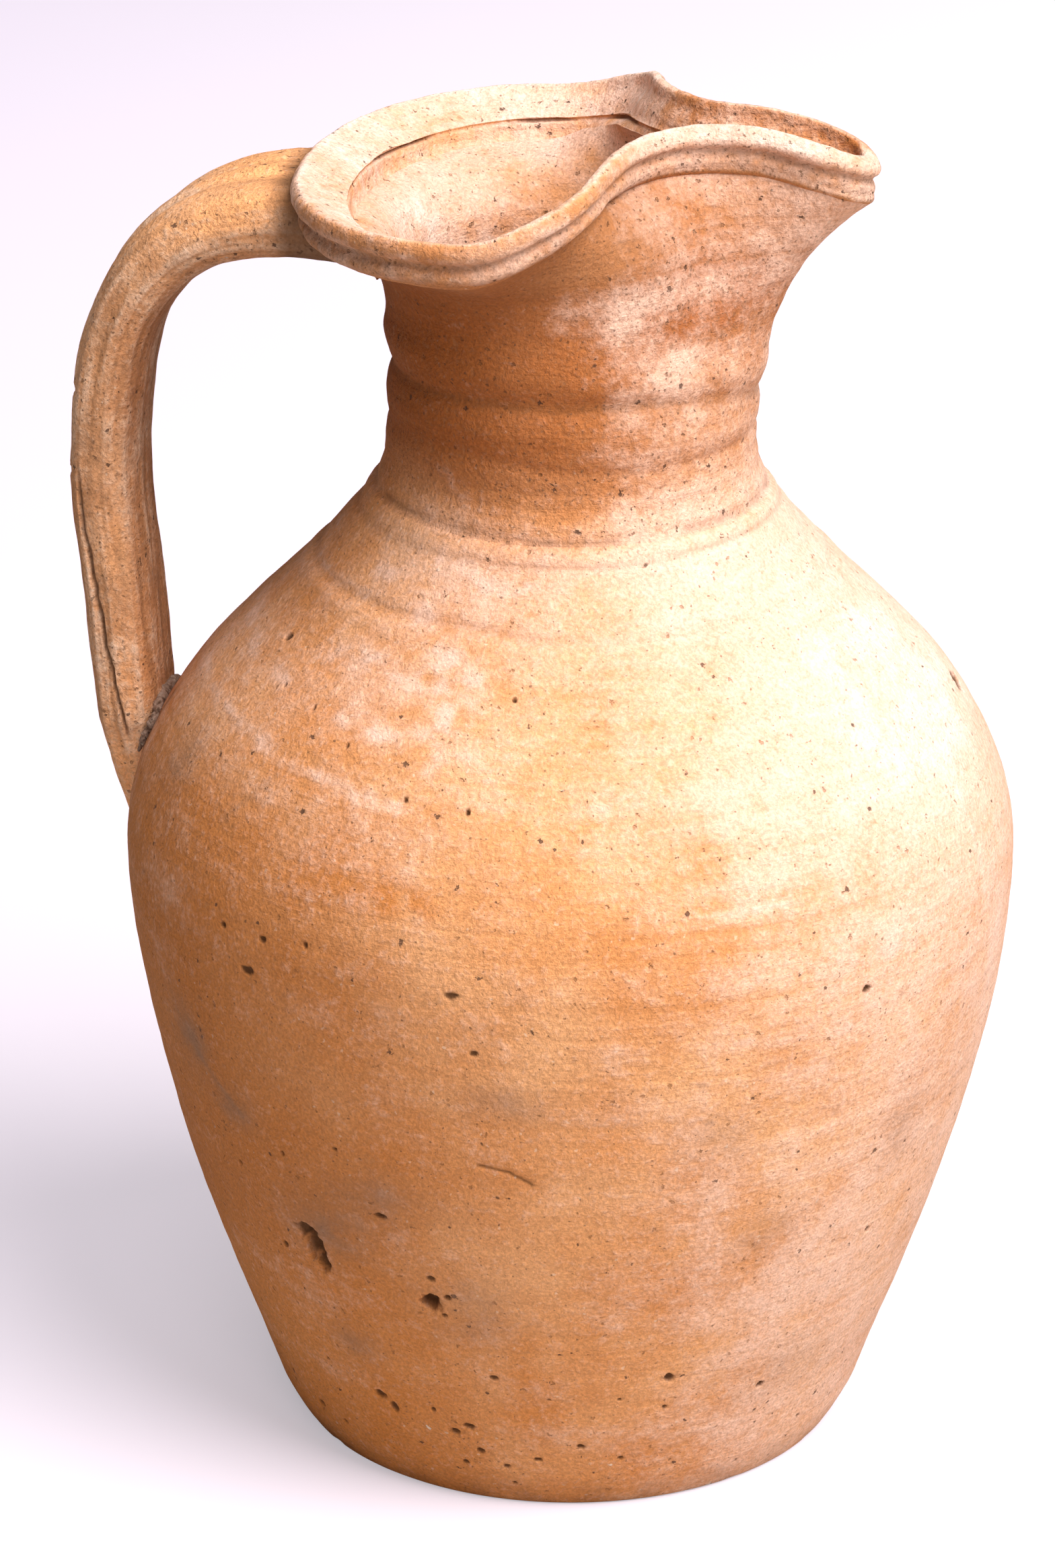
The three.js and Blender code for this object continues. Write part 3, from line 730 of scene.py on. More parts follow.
# Marks on the outside
# Pale smears: strength, half width in millimetres and places (angle, height)
SMEARS = [
    (0.42, 2.6, [(-168, 206), (-157.3, 203.8), (-147.3, 203.3), (-138, 203.6)]),
    (0.40, 1.3, [(-168, 194.6), (-155.8, 193.3), (-149.2, 193.1)]),
    (0.55, 1.7, [(-149.2, 193.1), (-138.4, 192.0), (-131.5, 191.2)]),
    (0.50, 1.7, [(-129.5, 190.2), (-123.5, 190.3), (-118.2, 189.5), (-113.3, 188.7)]),
    (0.62, 1.9, [(-113.3, 188.7), (-109, 188.1), (-105.5, 188.4)]),
    (0.62, 3.2, [(-115, 220.8), (-110.4, 217.5), (-106.8, 215.3)]),
    (0.75, 3.4, [(-106.8, 215.3), (-103, 213.1), (-98, 210)]),
    (0.62, 2.6, [(-131, 210.8), (-125.8, 212.1), (-120.2, 211.9), (-114.3, 211.3), (-109.5, 210.9)]),
    (
        0.60,
        2.4,
        [(-106.1, 211.5), (-103.5, 207.3), (-103, 204.2), (-105.6, 201.7), (-110.1, 199.9), (-114, 200)],
    ),
    (0.62, 2.6, [(-103, 204.2), (-101.2, 200.6), (-96.5, 198.8)]),
    (0.50, 2.2, [(-101.2, 200.6), (-101.8, 195.2)]),
    (0.50, 1.8, [(-98.2, 210.2), (-100.4, 208.2), (-102.6, 205.5)]),
    (0.45, 1.0, [(-166, 221.6), (-151, 222.0), (-139, 222.4), (-133.3, 222.3)]),
    (0.50, 2.4, [(-116, 232.6), (-108, 231.2), (-102, 229.4)]),
    (0.85, 0.8, [(-98.1, 228.3), (-93.4, 228.5), (-91, 229.7)]),
    (0.45, 1.2, [(-15.7, 176.7), (-14.8, 152)]),
    (0.30, 1.3, [(-96, 190), (-84, 189), (-70, 190.5)]),
    (0.32, 1.2, [(-72, 168), (-60, 167.2), (-52, 168.4)]),
    (0.30, 1.5, [(-60, 137), (-47, 134), (-36, 135.6)]),
]
# Pale patches: strength, angle, height, half width, half height
BLOOMS = [
    (0.60, -119.5, 201.5, 3.2, 2.6),
    (0.55, -114.1, 200.2, 3.6, 2.2),
    (0.60, -131.5, 227.6, 4.4, 4.0),
    (0.40, -95, 160.5, 3.4, 1.6),
    (0.35, -36, 151, 17, 9),
    (0.30, -80, 100, 9, 4),
    (0.34, -104, 118, 6, 3),
    (0.26, -62, 92, 12, 7),
    (0.26, -100, 40, 9, 6),
    (0.30, -48, 60, 12, 9),
    (0.22, -74, 24, 20, 5),
    (0.30, -28, 190, 9, 12),
    (0.32, -58, 170, 7, 4),
    (0.35, -9, 130, 9, 26),
]
# Dirt with many dark grains: strength, angle, height, half width, half height
DIRT = [
    (1.0, -149.5, 179, 9, 8),
    (0.7, -140, 168, 12, 9),
    (0.8, -125.5, 222.4, 9, 3.2),
    (0.7, -108, 236.5, 16, 3.6),
    (0.6, -72, 236.5, 18, 3.0),
    (0.5, -128, 204, 10, 8),
    (0.9, -52, 291, 10, 5.5),
    (0.7, -34, 282, 12, 8),
    (0.8, -60, 266, 16, 3),
    (0.6, -90, 250, 22, 5),
    (0.4, -100, 24, 14, 9),
    (0.3, -80, 12, 40, 8),
]
# Brown-grey smudges: strength, angle, height, half width, half height
SMUDGES = [
    (0.42, -117, 80, 12, 9),
    (0.30, -107, 92, 13, 8),
    (0.45, -140, 118, 9, 9),
    (0.38, -131, 104, 8, 5),
    (0.25, -95, 62, 12, 10),
    (0.30, -117, 44, 7, 6),
    (0.28, -88, 124, 12, 5),
    (0.22, -60, 112, 10, 6),
    (0.24, -52, 82, 9, 6),
    (0.20, -40, 36, 14, 7),
    (0.30, -150, 178, 8, 8),
    (0.25, -30, 100, 8, 10),
    (0.3, 150.0, 120.0, 22.0, 16.0),
    (0.3, 80.0, 60.0, 24.0, 14.0),
    (0.25, 40.0, 150.0, 18.0, 14.0),
]
# Places (angle, height) of rust stains, small grey specks, soil and shade beside the strap's foot, and the
# shadow in the neck's waist
RUST = [(-117.5, 167.9), (-111, 169.4), (-105, 170.6), (-100, 169.6)]
SPECKS = [(-41, 143), (-34.5, 138.6), (-46, 127), (-64, 127.5), (-62.6, 117), (-44, 112.6), (-64, 41)]
FOOT_SOIL = [(171.2, 184), (170.8, 176), (171.2, 168), (173, 158)]
FOOT_SHADE = [(172.2, 183), (171.9, 176), (172.4, 168), (174, 158)]
WAIST_SHADOW = [(-180, 268.2), (-92, 269.4), (-55, 269.3), (-20, 265.3), (0, 262.3), (90, 267)]


def body_marks(made, pits):
    """Layers of bloom and painted highlight, stain and painted shade, dirt and lines, from places on the
    outside and from noise.
    """
    points = points_of(made)
    degrees, height = degrees_of(points), points[:, 2]
    inner = is_inner(made)

    def place(*where):
        return blot(degrees, height, *where)

    def draw(width, *places):
        return stroke(degrees, height, places, width)

    def ring(places, width):
        return band(height, turning(degrees, places), width)

    lumps = rough(points, 34, 81)
    small = rough(points, 9, 85)
    ragged = np.clip(0.8 + 1.1 * rough(points * [0.6, 0.6, 1], 3.4, 86, 2), 0.1, 1.4)
    bands = noise(wrapped(degrees, height, 1.2, 9), 88)
    patchy = noise(wrapped(degrees, height, 2.1, 11), 89) + 0.6 * small
    on_neck = smoothstep(height, 232, 250)
    front = facing(degrees, -4, 0.15, 0.98)
    narrow = smoothstep(np.cos(np.radians(degrees + 8)) + 0.22 * patchy, 0.1, 1.0)

    # Painted shade on the neck under the rim, less on its lit side and most on the side away from the light,
    # with some darker clay; a darker patch under the near side of the spout, painted shade with grit; and
    # painted shade on the belly's back, the side away from the light
    dusk = smoothstep(height, 234, 260) * (1 - 0.3 * smoothstep(height, 296, 303)) * (1 - 0.3 * narrow)
    dusk *= 0.84 + 0.16 * facing(degrees, -155, 0.4, 0.95)
    dusk += 0.75 * place(-34, 293, 22, 11)
    back = facing(degrees, -165, 0.1, 0.95)
    dusk += 0.38 * back * smoothstep(height, 30, 80) * smoothstep(height, 200, 168)

    pale = 0.12 + 0.1 * lumps + 0.08 * small + 0.05 * bands
    # Painted highlight: paler on the side that faces the light, on the belly and on the neck, and over the
    # shoulder where it faces up
    pale += lerp(0.44 * front, 0.42 * narrow - 0.06, on_neck)
    pale += (0.16 + 0.06 * front) * smoothstep(height, 160, 195) * (1 - on_neck) - 0.1 * dusk * on_neck
    pale += 0.26 * place(-80, 231, 36, 13) + 0.25 * place(-5, 196, 32, 24) + 0.16 * place(-15, 296, 30, 9)
    pale += 0.26 * place(-62, 293, 15, 9) + 0.16 * place(-48, 276, 14, 7)
    smears = sum(strength * draw(width * 1.45, *places) for strength, width, places in SMEARS)
    pale += 0.44 * np.minimum(smears, 0.8) * ragged
    pale += 0.45 * sum(strength * place(*where) for strength, *where in BLOOMS) * ragged

    # Deeper colour in lumps and lower down on the belly
    stain = 0.3 * smoothstep(lumps, 0.1, 0.8) + 0.3 * smoothstep(height, 125, 85)
    # Painted shade: a deeper colour on the belly's back, the side away from the light
    stain += 0.8 * facing(degrees, -168, 0.2, 0.9) * smoothstep(height, 205, 165)
    stain += 0.6 * sum(place(*where, 5, 4.2) for where in RUST) * ragged
    stain += 0.4 * smoothstep(height, 44, 6) * (0.6 + 0.5 * lumps) + 0.6 * place(-118, 71, 8, 8)

    dirt = sum(strength * place(*where) for strength, *where in DIRT) * (0.7 + 0.5 * small)
    dirt += 0.35 * on_neck + 0.9 * place(-36, 294, 17, 8)

    grey = 0.4 * draw(1.3, (-133.9, 175.2), (-127.8, 187.2)) + 0.4 * draw(2.0, (-138, 114), (-130, 103.6))
    smudges = sum(strength * place(*where) for strength, *where in SMUDGES)
    grey += 1.7 * smudges * (0.75 + 0.5 * small + 0.3 * ragged)
    grey += 0.85 * sum(place(*where, 0.9, 0.8) for where in SPECKS)

    line = draw(0.7, *HAIR_CRACK) + 0.45 * draw(0.6, (-136.5, 177.7), (-131.4, 173.7))
    # Soil and shade along both sides of the strap's foot
    for side in (-1, 1):
        grey += 0.5 * draw(3.0, *((angle * side, up) for angle, up in FOOT_SOIL))
        line += 0.8 * draw(1.5, *((angle * side, up) for angle, up in FOOT_SHADE))
    open_joint = smoothstep(noise(wrapped(degrees, height, 4, 30), 97), -0.55, 0.2)
    line += 0.5 * ring(RINGS["joint"][2], 0.8) * open_joint
    # The slope's groove, darker on the side away from the light as painted shade
    line += (0.06 + 0.22 * facing(degrees, -140, 0.2, 0.8)) * ring(RINGS["slope"][2], 0.9)
    line += 0.35 * ring(RINGS["under joint"][2], 0.6) + 0.35 * ring(WAIST_SHADOW, 1.0)
    # Painted shade on the neck under the rim's overhang, less towards the spout
    under_rim = smoothstep(height, 286, 302) * (0.35 + 0.65 * facing(degrees, -120, -0.2, 0.7))
    line += 0.4 * under_rim * (1 - 0.6 * smoothstep(points[:, 0], 35, 60))
    line += 0.4 * smoothstep(height, 12, 1) * (0.5 + 0.5 * small)

    throat_line = band(height, 265.2 + 1.5 * np.sin(np.radians(degrees)), 0.7) * (0.6 + 0.6 * small)
    deep_side = smoothstep(points[:, 0], 2, 26) * smoothstep(height, 316, 300)
    outside = dict(zip(LAYERS, (pale, stain, grey, line, pits, dusk, dirt)))
    # Inside, painted shade: lighter towards the mouth, darker deeper down, and darker with some stain on the
    # spout's side
    within = {
        "pale": 0.22 + 0.4 * smoothstep(height, 256, 290) + 0.25 * small + 0.3 * lumps - 0.35 * deep_side,
        "stain": 0.1 + 0.8 * place(96, 288, 8, 4.5) + 0.25 * deep_side,
        "grey": 0.12,
        "line": 0.16 - 0.1 * smoothstep(height, 262, 280) + 0.35 * throat_line,
        "pit": 0,
        "dusk": 0.5 * smoothstep(height, 276, 250) + 0.35 * deep_side,
        "dirt": 0.45 * smoothstep(height, 285, 255) + 0.3,
    }
    paint(made, **{name: np.where(inner, within[name], outside[name]) for name in LAYERS})


def collar_marks(made):
    """The collar's layers, by its rows: the rolls and their groove, the crest, the fold and its seam."""
    points = points_of(made)
    count = len(COLLAR)
    row = np.arange(count)
    lumps = rough(points, 16, 101)
    fine = rough(points, 3.4, 105)

    def on(low, high):
        share = smoothstep(row, low - 1.5, low + 1.5) * smoothstep(row, high + 1.5, high - 1.5)
        return np.repeat(share, COLUMNS)

    def every_row(values):
        return np.tile(values, count)

    spout = every_row(SPOUT)
    left = every_row(smoothstep(CREST[:, 1], 20, -30))
    near = every_row(smoothstep(CREST[:, 1], -15, -50))
    # The far wall of the spout: painted shade with dirt
    far_spout = every_row(SPOUT * smoothstep(CREST[:, 1], 0, 6)) * on(CREST_ROW - 4, count + 2)
    pale = 0.72 * on(CREST_ROW, 50) + 0.4 * on(2, CREST_ROW) + 0.5 * on(54, count)
    pale += 0.24 * lumps + 0.16 * fine + (0.25 - 0.4 * near) * on(CREST_ROW - 8, CREST_ROW + 4)
    pale += 0.2 * spout * on(0, CREST_ROW) - 0.5 * far_spout
    # Painted shade in the groove between the rolls and at the collar's foot, more on the near side and round
    # the back, and under the fold's edge, darkest where it stands open
    line = (0.08 + 0.12 * left) * on(9, 13) * (0.7 + 0.4 * lumps)
    line += 0.85 * on(50, 57) * every_row(0.1 + 0.9 * CRACK)
    line += 0.3 * on(0, 3) * left + 0.22 * on(2, 12) * (0.6 + 0.6 * fine)
    paint(
        made,
        pale=pale,
        stain=0.3 * smoothstep(lumps, 0.1, 0.9),
        grey=0.25 * smoothstep(fine, 0.3, 1) * on(0, 14) + 0.1 * on(2, CREST_ROW),
        line=line,
        # Painted shade: the collar's outside is darker than its crest and fold, more on the near side and
        # round the back
        dusk=(1 - on(CREST_ROW - 2, count + 2)) * (0.16 + 0.14 * left) + 0.6 * far_spout,
        dirt=0.3 + 0.4 * on(0, 16) + 0.3 * spout * on(0, 20) + 0.5 * far_spout,
    )


# Pieces of the body
foot_rings = [level_ring(FLOOR_RADIUS + 3.0, FLOOR_THICKNESS), level_ring(FLOOR_RADIUS, 0.0)]
lower_inside = rows_between("shoulder_in", "lower_in")
lower = wall_piece("jug_lower_body", rows_between(None, "lower"), lower_inside, foot_rings)
upper = wall_piece("jug_shoulder", rows_between("lower", "shoulder"), rows_between("neck_in", "shoulder_in"))
neck = wall_piece("jug_neck", rows_between("shoulder", "mouth"), rows_between("collar", "neck_in"))
collar = wall_piece("jug_rim_collar", rows_between("mouth", "collar"))

pit_places = [(angle, centre, max(half, tall) * 1.3 + 1.6) for angle, centre, half, tall, _ in PITS]
crack_places = [(angle, centre, 3.0) for angle, centre in (*HAIR_CRACK, (-90.2, 105.9), (-86.7, 103.6))]
refine(lower, [p for p in pit_places if p[1] < BELLY_HEIGHT] + crack_places)
refine(upper, [p for p in pit_places if BELLY_HEIGHT < p[1] < NECK_JOINT])
for piece in (lower, upper, neck):
    body_marks(piece, press_pits(piece))
    smooth(piece, 60)
collar_marks(collar)
smooth(collar, 70)


def floor_disc():
    """The slab under the body, with the marks of the wheel on both faces."""
    radii = np.linspace(0, 1, 42)[1:]
    top = [level_ring(r * (FLOOR_RADIUS + 2.9), FLOOR_THICKNESS) for r in radii]
    foot = [level_ring(r * (FLOOR_RADIUS - 0.1), 0.0) for r in radii[::-1]]
    grid = np.vstack([top, foot])[:, ::-1]
    x, y, z = np.moveaxis(grid, -1, 0)
    reach = np.hypot(x, y)
    spiral = 0.5 + 0.4 * np.sin(reach / 1.6 + np.arctan2(y, x)) * smoothstep(reach, 58, 50)
    arcs = (0.25 + 0.2 * np.sin(1.9 * np.hypot(x - 30, y + 60))) * smoothstep(reach, 56, 48)
    z += np.where(np.arange(len(grid))[:, None] < len(top), -spiral, arcs)
    points = np.vstack([grid.reshape(-1, 3), (0, 0, FLOOR_THICKNESS - 0.5), (0, 0, 0.3)])
    faces = tube_faces(len(grid), COLUMNS)
    tip, base = len(points) - 2, len(points) - 1
    last = (len(grid) - 1) * COLUMNS
    for c in range(COLUMNS):
        after = (c + 1) % COLUMNS
        faces += [[tip, c, after], [base, last + after, last + c]]
    made = make_mesh("jug_floor", points, faces)
    lumps = rough(points, 20, 111)
    paint(made, pale=0.25 + 0.3 * lumps, stain=0.3 + 0.2 * lumps)
    smooth(made, 50)
    return made


# Handle: the strap's middle line as (reach, height), and its width at some shares of its length
STRAP_RINGS = 300
STRAP_COLUMNS = 120
DOME_AT_FOOT = body_radius(165)
STRAP_REACH = BELLY_RADIUS + 3.9
STRAP_LINE = [
    (NECK_RADIUS, 301.8),
    ((NECK_RADIUS + STRAP_REACH - 23.4) / 2, 302.3),
    (STRAP_REACH - 23.4, 296.0),
    (STRAP_REACH - 7.0, 277.5),
    (STRAP_REACH, 240.0),
    ((STRAP_REACH + DOME_AT_FOOT + 1.3) / 2 + 0.2, 202.5),
    (DOME_AT_FOOT + 1.3, 165.0),
    (BELLY_RADIUS - 3.3, 145.0),
]
STRAP_WIDTHS = [(0, 50), (0.12, 47), (0.36, 35), (0.58, 30), (0.86, 28.5), (0.95, 17), (1, 4)]
# Half of the strap's section, as shares of half its width and half its thickness
STRAP_HALF_OUTER = [(0, 1), (0.22, 0.9), (0.45, 0.97), (0.7, 0.92), (0.88, 0.76), (0.94, 0.42)]
STRAP_HALF_INNER = [(1, 0.1), (0.97, -0.35), (0.85, -0.72), (0.6, -0.93), (0.3, -1), (0, -1)]
# The fingers' ridges along its outer face: place across it, height and width
FINGER_RIDGES = [(-0.55, 0.45, 0.09), (-0.1, 0.55, 0.1), (0.3, 0.4, 0.08), (0.66, 0.35, 0.07)]
# The crack on its near edge: share of the length and place in the thickness
STRAP_CRACK = [(0.53, 0.66), (0.6, 0.6), (0.68, 0.5), (0.76, 0.36), (0.82, 0.16), (0.87, 0.02)]
# Its pits: share of the length, place across it, size and depth
STRAP_PITS = [
    (0.435, -0.35, 1.2, 0.9),
    (0.455, -0.5, 1.5, 1.0),
    (0.47, -0.3, 0.9, 0.7),
    (0.55, -0.55, 1.2, 0.9),
    (0.2, -0.4, 0.9, 0.6),
    (0.28, 0.2, 1.1, 0.7),
    (0.67, 0.3, 1.2, 0.8),
    (0.74, -0.1, 0.9, 0.6),
]
STRAP_MIDDLES = even(catmull(STRAP_LINE, closed=False), count=STRAP_RINGS)
STRAP_OUTWARDS = -outward_of(STRAP_MIDDLES)
STRAP_SHARE = np.linspace(0, 1, STRAP_RINGS)
STRAP_WIDE = np.interp(STRAP_SHARE, *np.array(STRAP_WIDTHS).T)


def line_noise(x, y, z, seed):
    """Noise along a line on which y and z stay the same."""
    return noise(np.column_stack([x, np.full(len(x), y), np.full(len(x), z)]), seed)


def strap_grid(section):
    """Rings of the strap's even shape, with the fingers' ridges."""
    across, up = section.T
    thick = lerp(20.4, 16.0, np.clip(STRAP_SHARE / 0.34, 0, 1))
    thick = lerp(thick, 9.0, smoothstep(STRAP_SHARE, 0.82, 1))
    wide = STRAP_WIDE * (1 + 0.018 * line_noise(STRAP_SHARE * 7, 0.3, 0.8, 121))
    offset = up * thick[:, None] / 2 + np.maximum(0, up) * (1 - np.abs(across))
    risen = smoothstep(STRAP_SHARE, 0.02, 0.1)[:, None] * (up > 0)
    for place, tall, width in FINGER_RIDGES:
        drift = place + 0.12 * line_noise(STRAP_SHARE * 2.3, place * 5, 1.7, 122)
        offset += tall * band(across, drift[:, None], width) * risen
    reach, height = np.moveaxis(STRAP_MIDDLES[:, None] + STRAP_OUTWARDS[:, None] * offset[..., None], -1, 0)
    return np.stack([-reach, across * wide[:, None] / 2, height], axis=-1)


def strap():
    """The strap, from inside the mouth's wall to its tail on the shoulder."""
    half = np.array(STRAP_HALF_OUTER + STRAP_HALF_INNER)
    around = np.vstack([half, half[-2:0:-1] * [-1, 1]])
    section = even(catmull(around, closed=True, steps=20), count=STRAP_COLUMNS + 1)[:-1]
    grid = strap_grid(section)
    normal = grid_normals(grid)
    normal *= np.sign((normal * (grid - grid.mean(axis=1, keepdims=True))).sum())
    flat = grid.reshape(-1, 3)
    share = np.repeat(STRAP_SHARE, STRAP_COLUMNS)
    across, up = np.tile(section, (STRAP_RINGS, 1)).T
    turn = np.tile(2 * np.pi * np.arange(STRAP_COLUMNS) / STRAP_COLUMNS, STRAP_RINGS)

    def streaks(cells, seed):
        return noise(np.column_stack([share * 7, cells * np.cos(turn), cells * np.sin(turn)]), seed)

    wide_streaks = streaks(3.2, 123)
    fine_streaks = streaks(8.5, 124)
    out = 0.34 * wide_streaks + 0.22 * fine_streaks
    out += 0.35 * rough(flat, 24, 125, 2) + 0.09 * rough(flat, 5, 127, 2) - 0.25
    crack_at = np.interp(share, *np.array(STRAP_CRACK).T) + 0.05 * line_noise(share * 45 + 0.4, 0.4, 0.4, 128)
    crack = smoothstep(np.abs(up - crack_at) * 8, 0.75, 0.15) * (across < -0.4)
    crack *= smoothstep(share, 0.52, 0.58) * smoothstep(share, 0.89, 0.86)
    out -= crack
    edge = 1 + 0.3 * noise(flat / 1.4, 129)
    pit = np.zeros(len(flat))
    for place, side, size, deep in STRAP_PITS:
        far = np.hypot((share - place) * 235, (across - side) * 15) / size * edge
        out -= deep * smoothstep(far, 1.3, 0.4) * (up > 0)
        # Their insides, darkened by the clay as painted shade
        pit = np.maximum(pit, smoothstep(far, 1.1, 0.6) * (up > 0))
    moved = flat + normal.reshape(-1, 3) * out[:, None]
    moved[:, 0] = np.maximum(moved[:, 0], box_mm("handle_strap")[0][0] + 0.02)
    # The start stays inside the wall of the mouth
    wall = SHAPED[LAST["shoulder"] : LAST["mouth"], 0]
    deep = np.interp(moved[:, 2], wall[:, 2], -wall[:, 0]) - 2.5
    deep = np.where(moved[:, 2] > wall[-1, 2] - 1, BACK_REACH - 4.5, deep) - 3.5 * (moved[:, 1] / 25) ** 2
    moved[:, 0] = np.where(share < 0.3, np.minimum(moved[:, 0], -deep), moved[:, 0])
    moved[:, 2] = np.where(share < 0.12, np.minimum(moved[:, 2], BACK_CREST - 3.2), moved[:, 2])
    made = tube_piece("jug_handle_strap", moved, STRAP_COLUMNS)

    lumps = rough(flat, 20, 131)
    tail = smoothstep(share, 0.84, 0.92)
    body = 1 - tail
    top = smoothstep(share, 0.34, 0.12) * smoothstep(up, -0.2, 0.6)
    pale = 0.36 - 0.25 * top + 0.3 * tail + 0.22 * lumps + 0.22 * wide_streaks + 0.2 * fine_streaks
    pale -= 0.14 * smoothstep(share, 0.5, 0.62) * body
    # Painted shade on the inner face, and a painted shadow in the crevice where the strap meets the rim
    line = crack + 0.15 * smoothstep(up, -0.3, -0.95) + 0.9 * smoothstep(share, 0.125, 0.09)
    # Painted shade on the inner face, and on the outer face from the strap's middle down
    dusk = 0.35 * smoothstep(up, -0.5, -0.9) + 0.4 * smoothstep(up, 0.8, 1.0) * smoothstep(share, 0.4, 0.6)
    paint(
        made,
        pale=pale * (1 - 0.65 * tail),
        # The tail is a brighter orange, partly painted light where the body shades it
        stain=0.4 + 0.3 * lumps + 0.6 * tail + 0.35 * top,
        grey=0.3 * smoothstep(rough(flat, 12, 135), 0.2, 0.9) * body,
        line=line * (1 - 0.8 * tail) + 0.32 * smoothstep(fine_streaks, -0.1, -0.7) * body,
        pit=pit,
        dusk=dusk * (1 - 0.7 * tail),
        dirt=0.6 * body + 0.4 * smoothstep(rough(flat, 14, 137), 0.2, 0.8),
    )
    smooth(made, 60)
    return made


def seat_lute():
    """Clay that fills the corner under the strap at the neck: rings across it from the neck's wall round
    a hollow face to the strap, and back through the corner inside both."""
    low, high = box_mm("handle_seat_lute")
    start = np.array([NECK_RADIUS + 0.2, lerp(low[2], high[2], 0.45)])
    end = np.array([-low[0], high[2] - 0.2])
    deep = np.array([NECK_RADIUS - 0.6, high[2] - 0.2])
    across = np.linspace(-1, 1, 64)
    turns = np.linspace(0, 1, 30)[:, None]
    rings = []
    for side in across:
        size = 0.1 + 0.9 * np.sqrt(max(1 - abs(side) ** 6, 0.0))
        a, b = lerp(deep, start, size), lerp(deep, end, size)
        middle = lerp((a + b) / 2, deep, 0.5)
        face = (1 - turns) ** 2 * a + 2 * (1 - turns) * turns * middle + turns**2 * b
        ring = np.vstack([face, lerp(b, deep, 0.5), deep, lerp(deep, a, 0.5)])
        rings.append(np.column_stack([-ring[:, 0], np.full(len(ring), side * high[1]), ring[:, 1]]))
    grid = np.array(rings)
    flat = grid.reshape(-1, 3)
    away = unit(np.array([deep[0] - (start + end)[0] / 2, 0, (start + end)[1] / 2 - deep[1]]))
    flat += away * (0.25 * rough(flat, 4.5, 141, 4) - 0.05)[:, None]
    ends = np.repeat(np.abs(across) ** 8, grid.shape[1])
    flat[:, 1] += 0.25 * np.sign(flat[:, 1]) * ends * rough(flat, 1.8, 150, 2)
    made = tube_piece("jug_handle_seat_lute", flat, grid.shape[1])
    lumps = rough(flat, 3.2, 146)
    paint(made, pale=0.3 + 0.25 * lumps, stain=0.3 + 0.2 * lumps, dirt=0.6)
    smooth(made, 60)
    return made


def foot_lute():
    """Rough clay and soil pressed round the strap's foot: up one side, across it and down the other."""
    low, high = box_mm("handle_foot_lute")
    top = high[2] - 9.0

    def on_body(y, height, proud):
        return [-np.sqrt(body_radius(height) ** 2 - y**2) - proud, y, height]

    side = []
    for height in np.linspace(low[2] - 12, top - 1.0, 5):
        half = 0.47 * np.interp(height, STRAP_MIDDLES[::-1, 1], STRAP_WIDE[::-1])
        side.append(on_body(-half, height, 0.5))
    over = [on_body(share * half, top + 2.4 * (1 - share**2), 0.9) for share in (-0.6, 0, 0.6)]
    other = [[x, -y, z] for x, y, z in side[::-1]]
    path = even(catmull(side + over + other, closed=False), count=260)
    share = np.linspace(0, 1, len(path))
    thickness = [(0, 0.3), (0.06, 0.8), (0.3, 1.05), (0.42, 1.5)]
    radius = np.interp(np.minimum(share, 1 - share), *np.array(thickness).T)
    run = unit(np.gradient(path, axis=0))
    beside = unit(np.cross(run, unit(path * [1, 1, 0])))
    out = np.cross(beside, run)
    turn = np.linspace(0, 2 * np.pi, 28, endpoint=False)[None, :, None]
    around = np.cos(turn) * out[:, None] + np.sin(turn) * beside[:, None]
    even_tube = path[:, None] + around
    lumps = rough(even_tube, 2.6, 151, 3) + 0.5 * rough(even_tube, 0.9, 156, 2)
    grid = path[:, None] + around * (radius[:, None] * (1 + 0.5 * lumps))[..., None]
    made = tube_piece("jug_handle_foot_lute", grid.reshape(-1, 3), grid.shape[1])
    # Painted shade in the hollows between the lumps
    hollow = smoothstep(-lumps.ravel(), 0.1, 0.7)
    paint(made, pale=0.35 - 0.3 * hollow, stain=0.4, line=0.7 * hollow, dirt=0.6)
    smooth(made, 60)
    return made


bottom = floor_disc()
handle = strap()
seat = seat_lute()
foot = foot_lute()


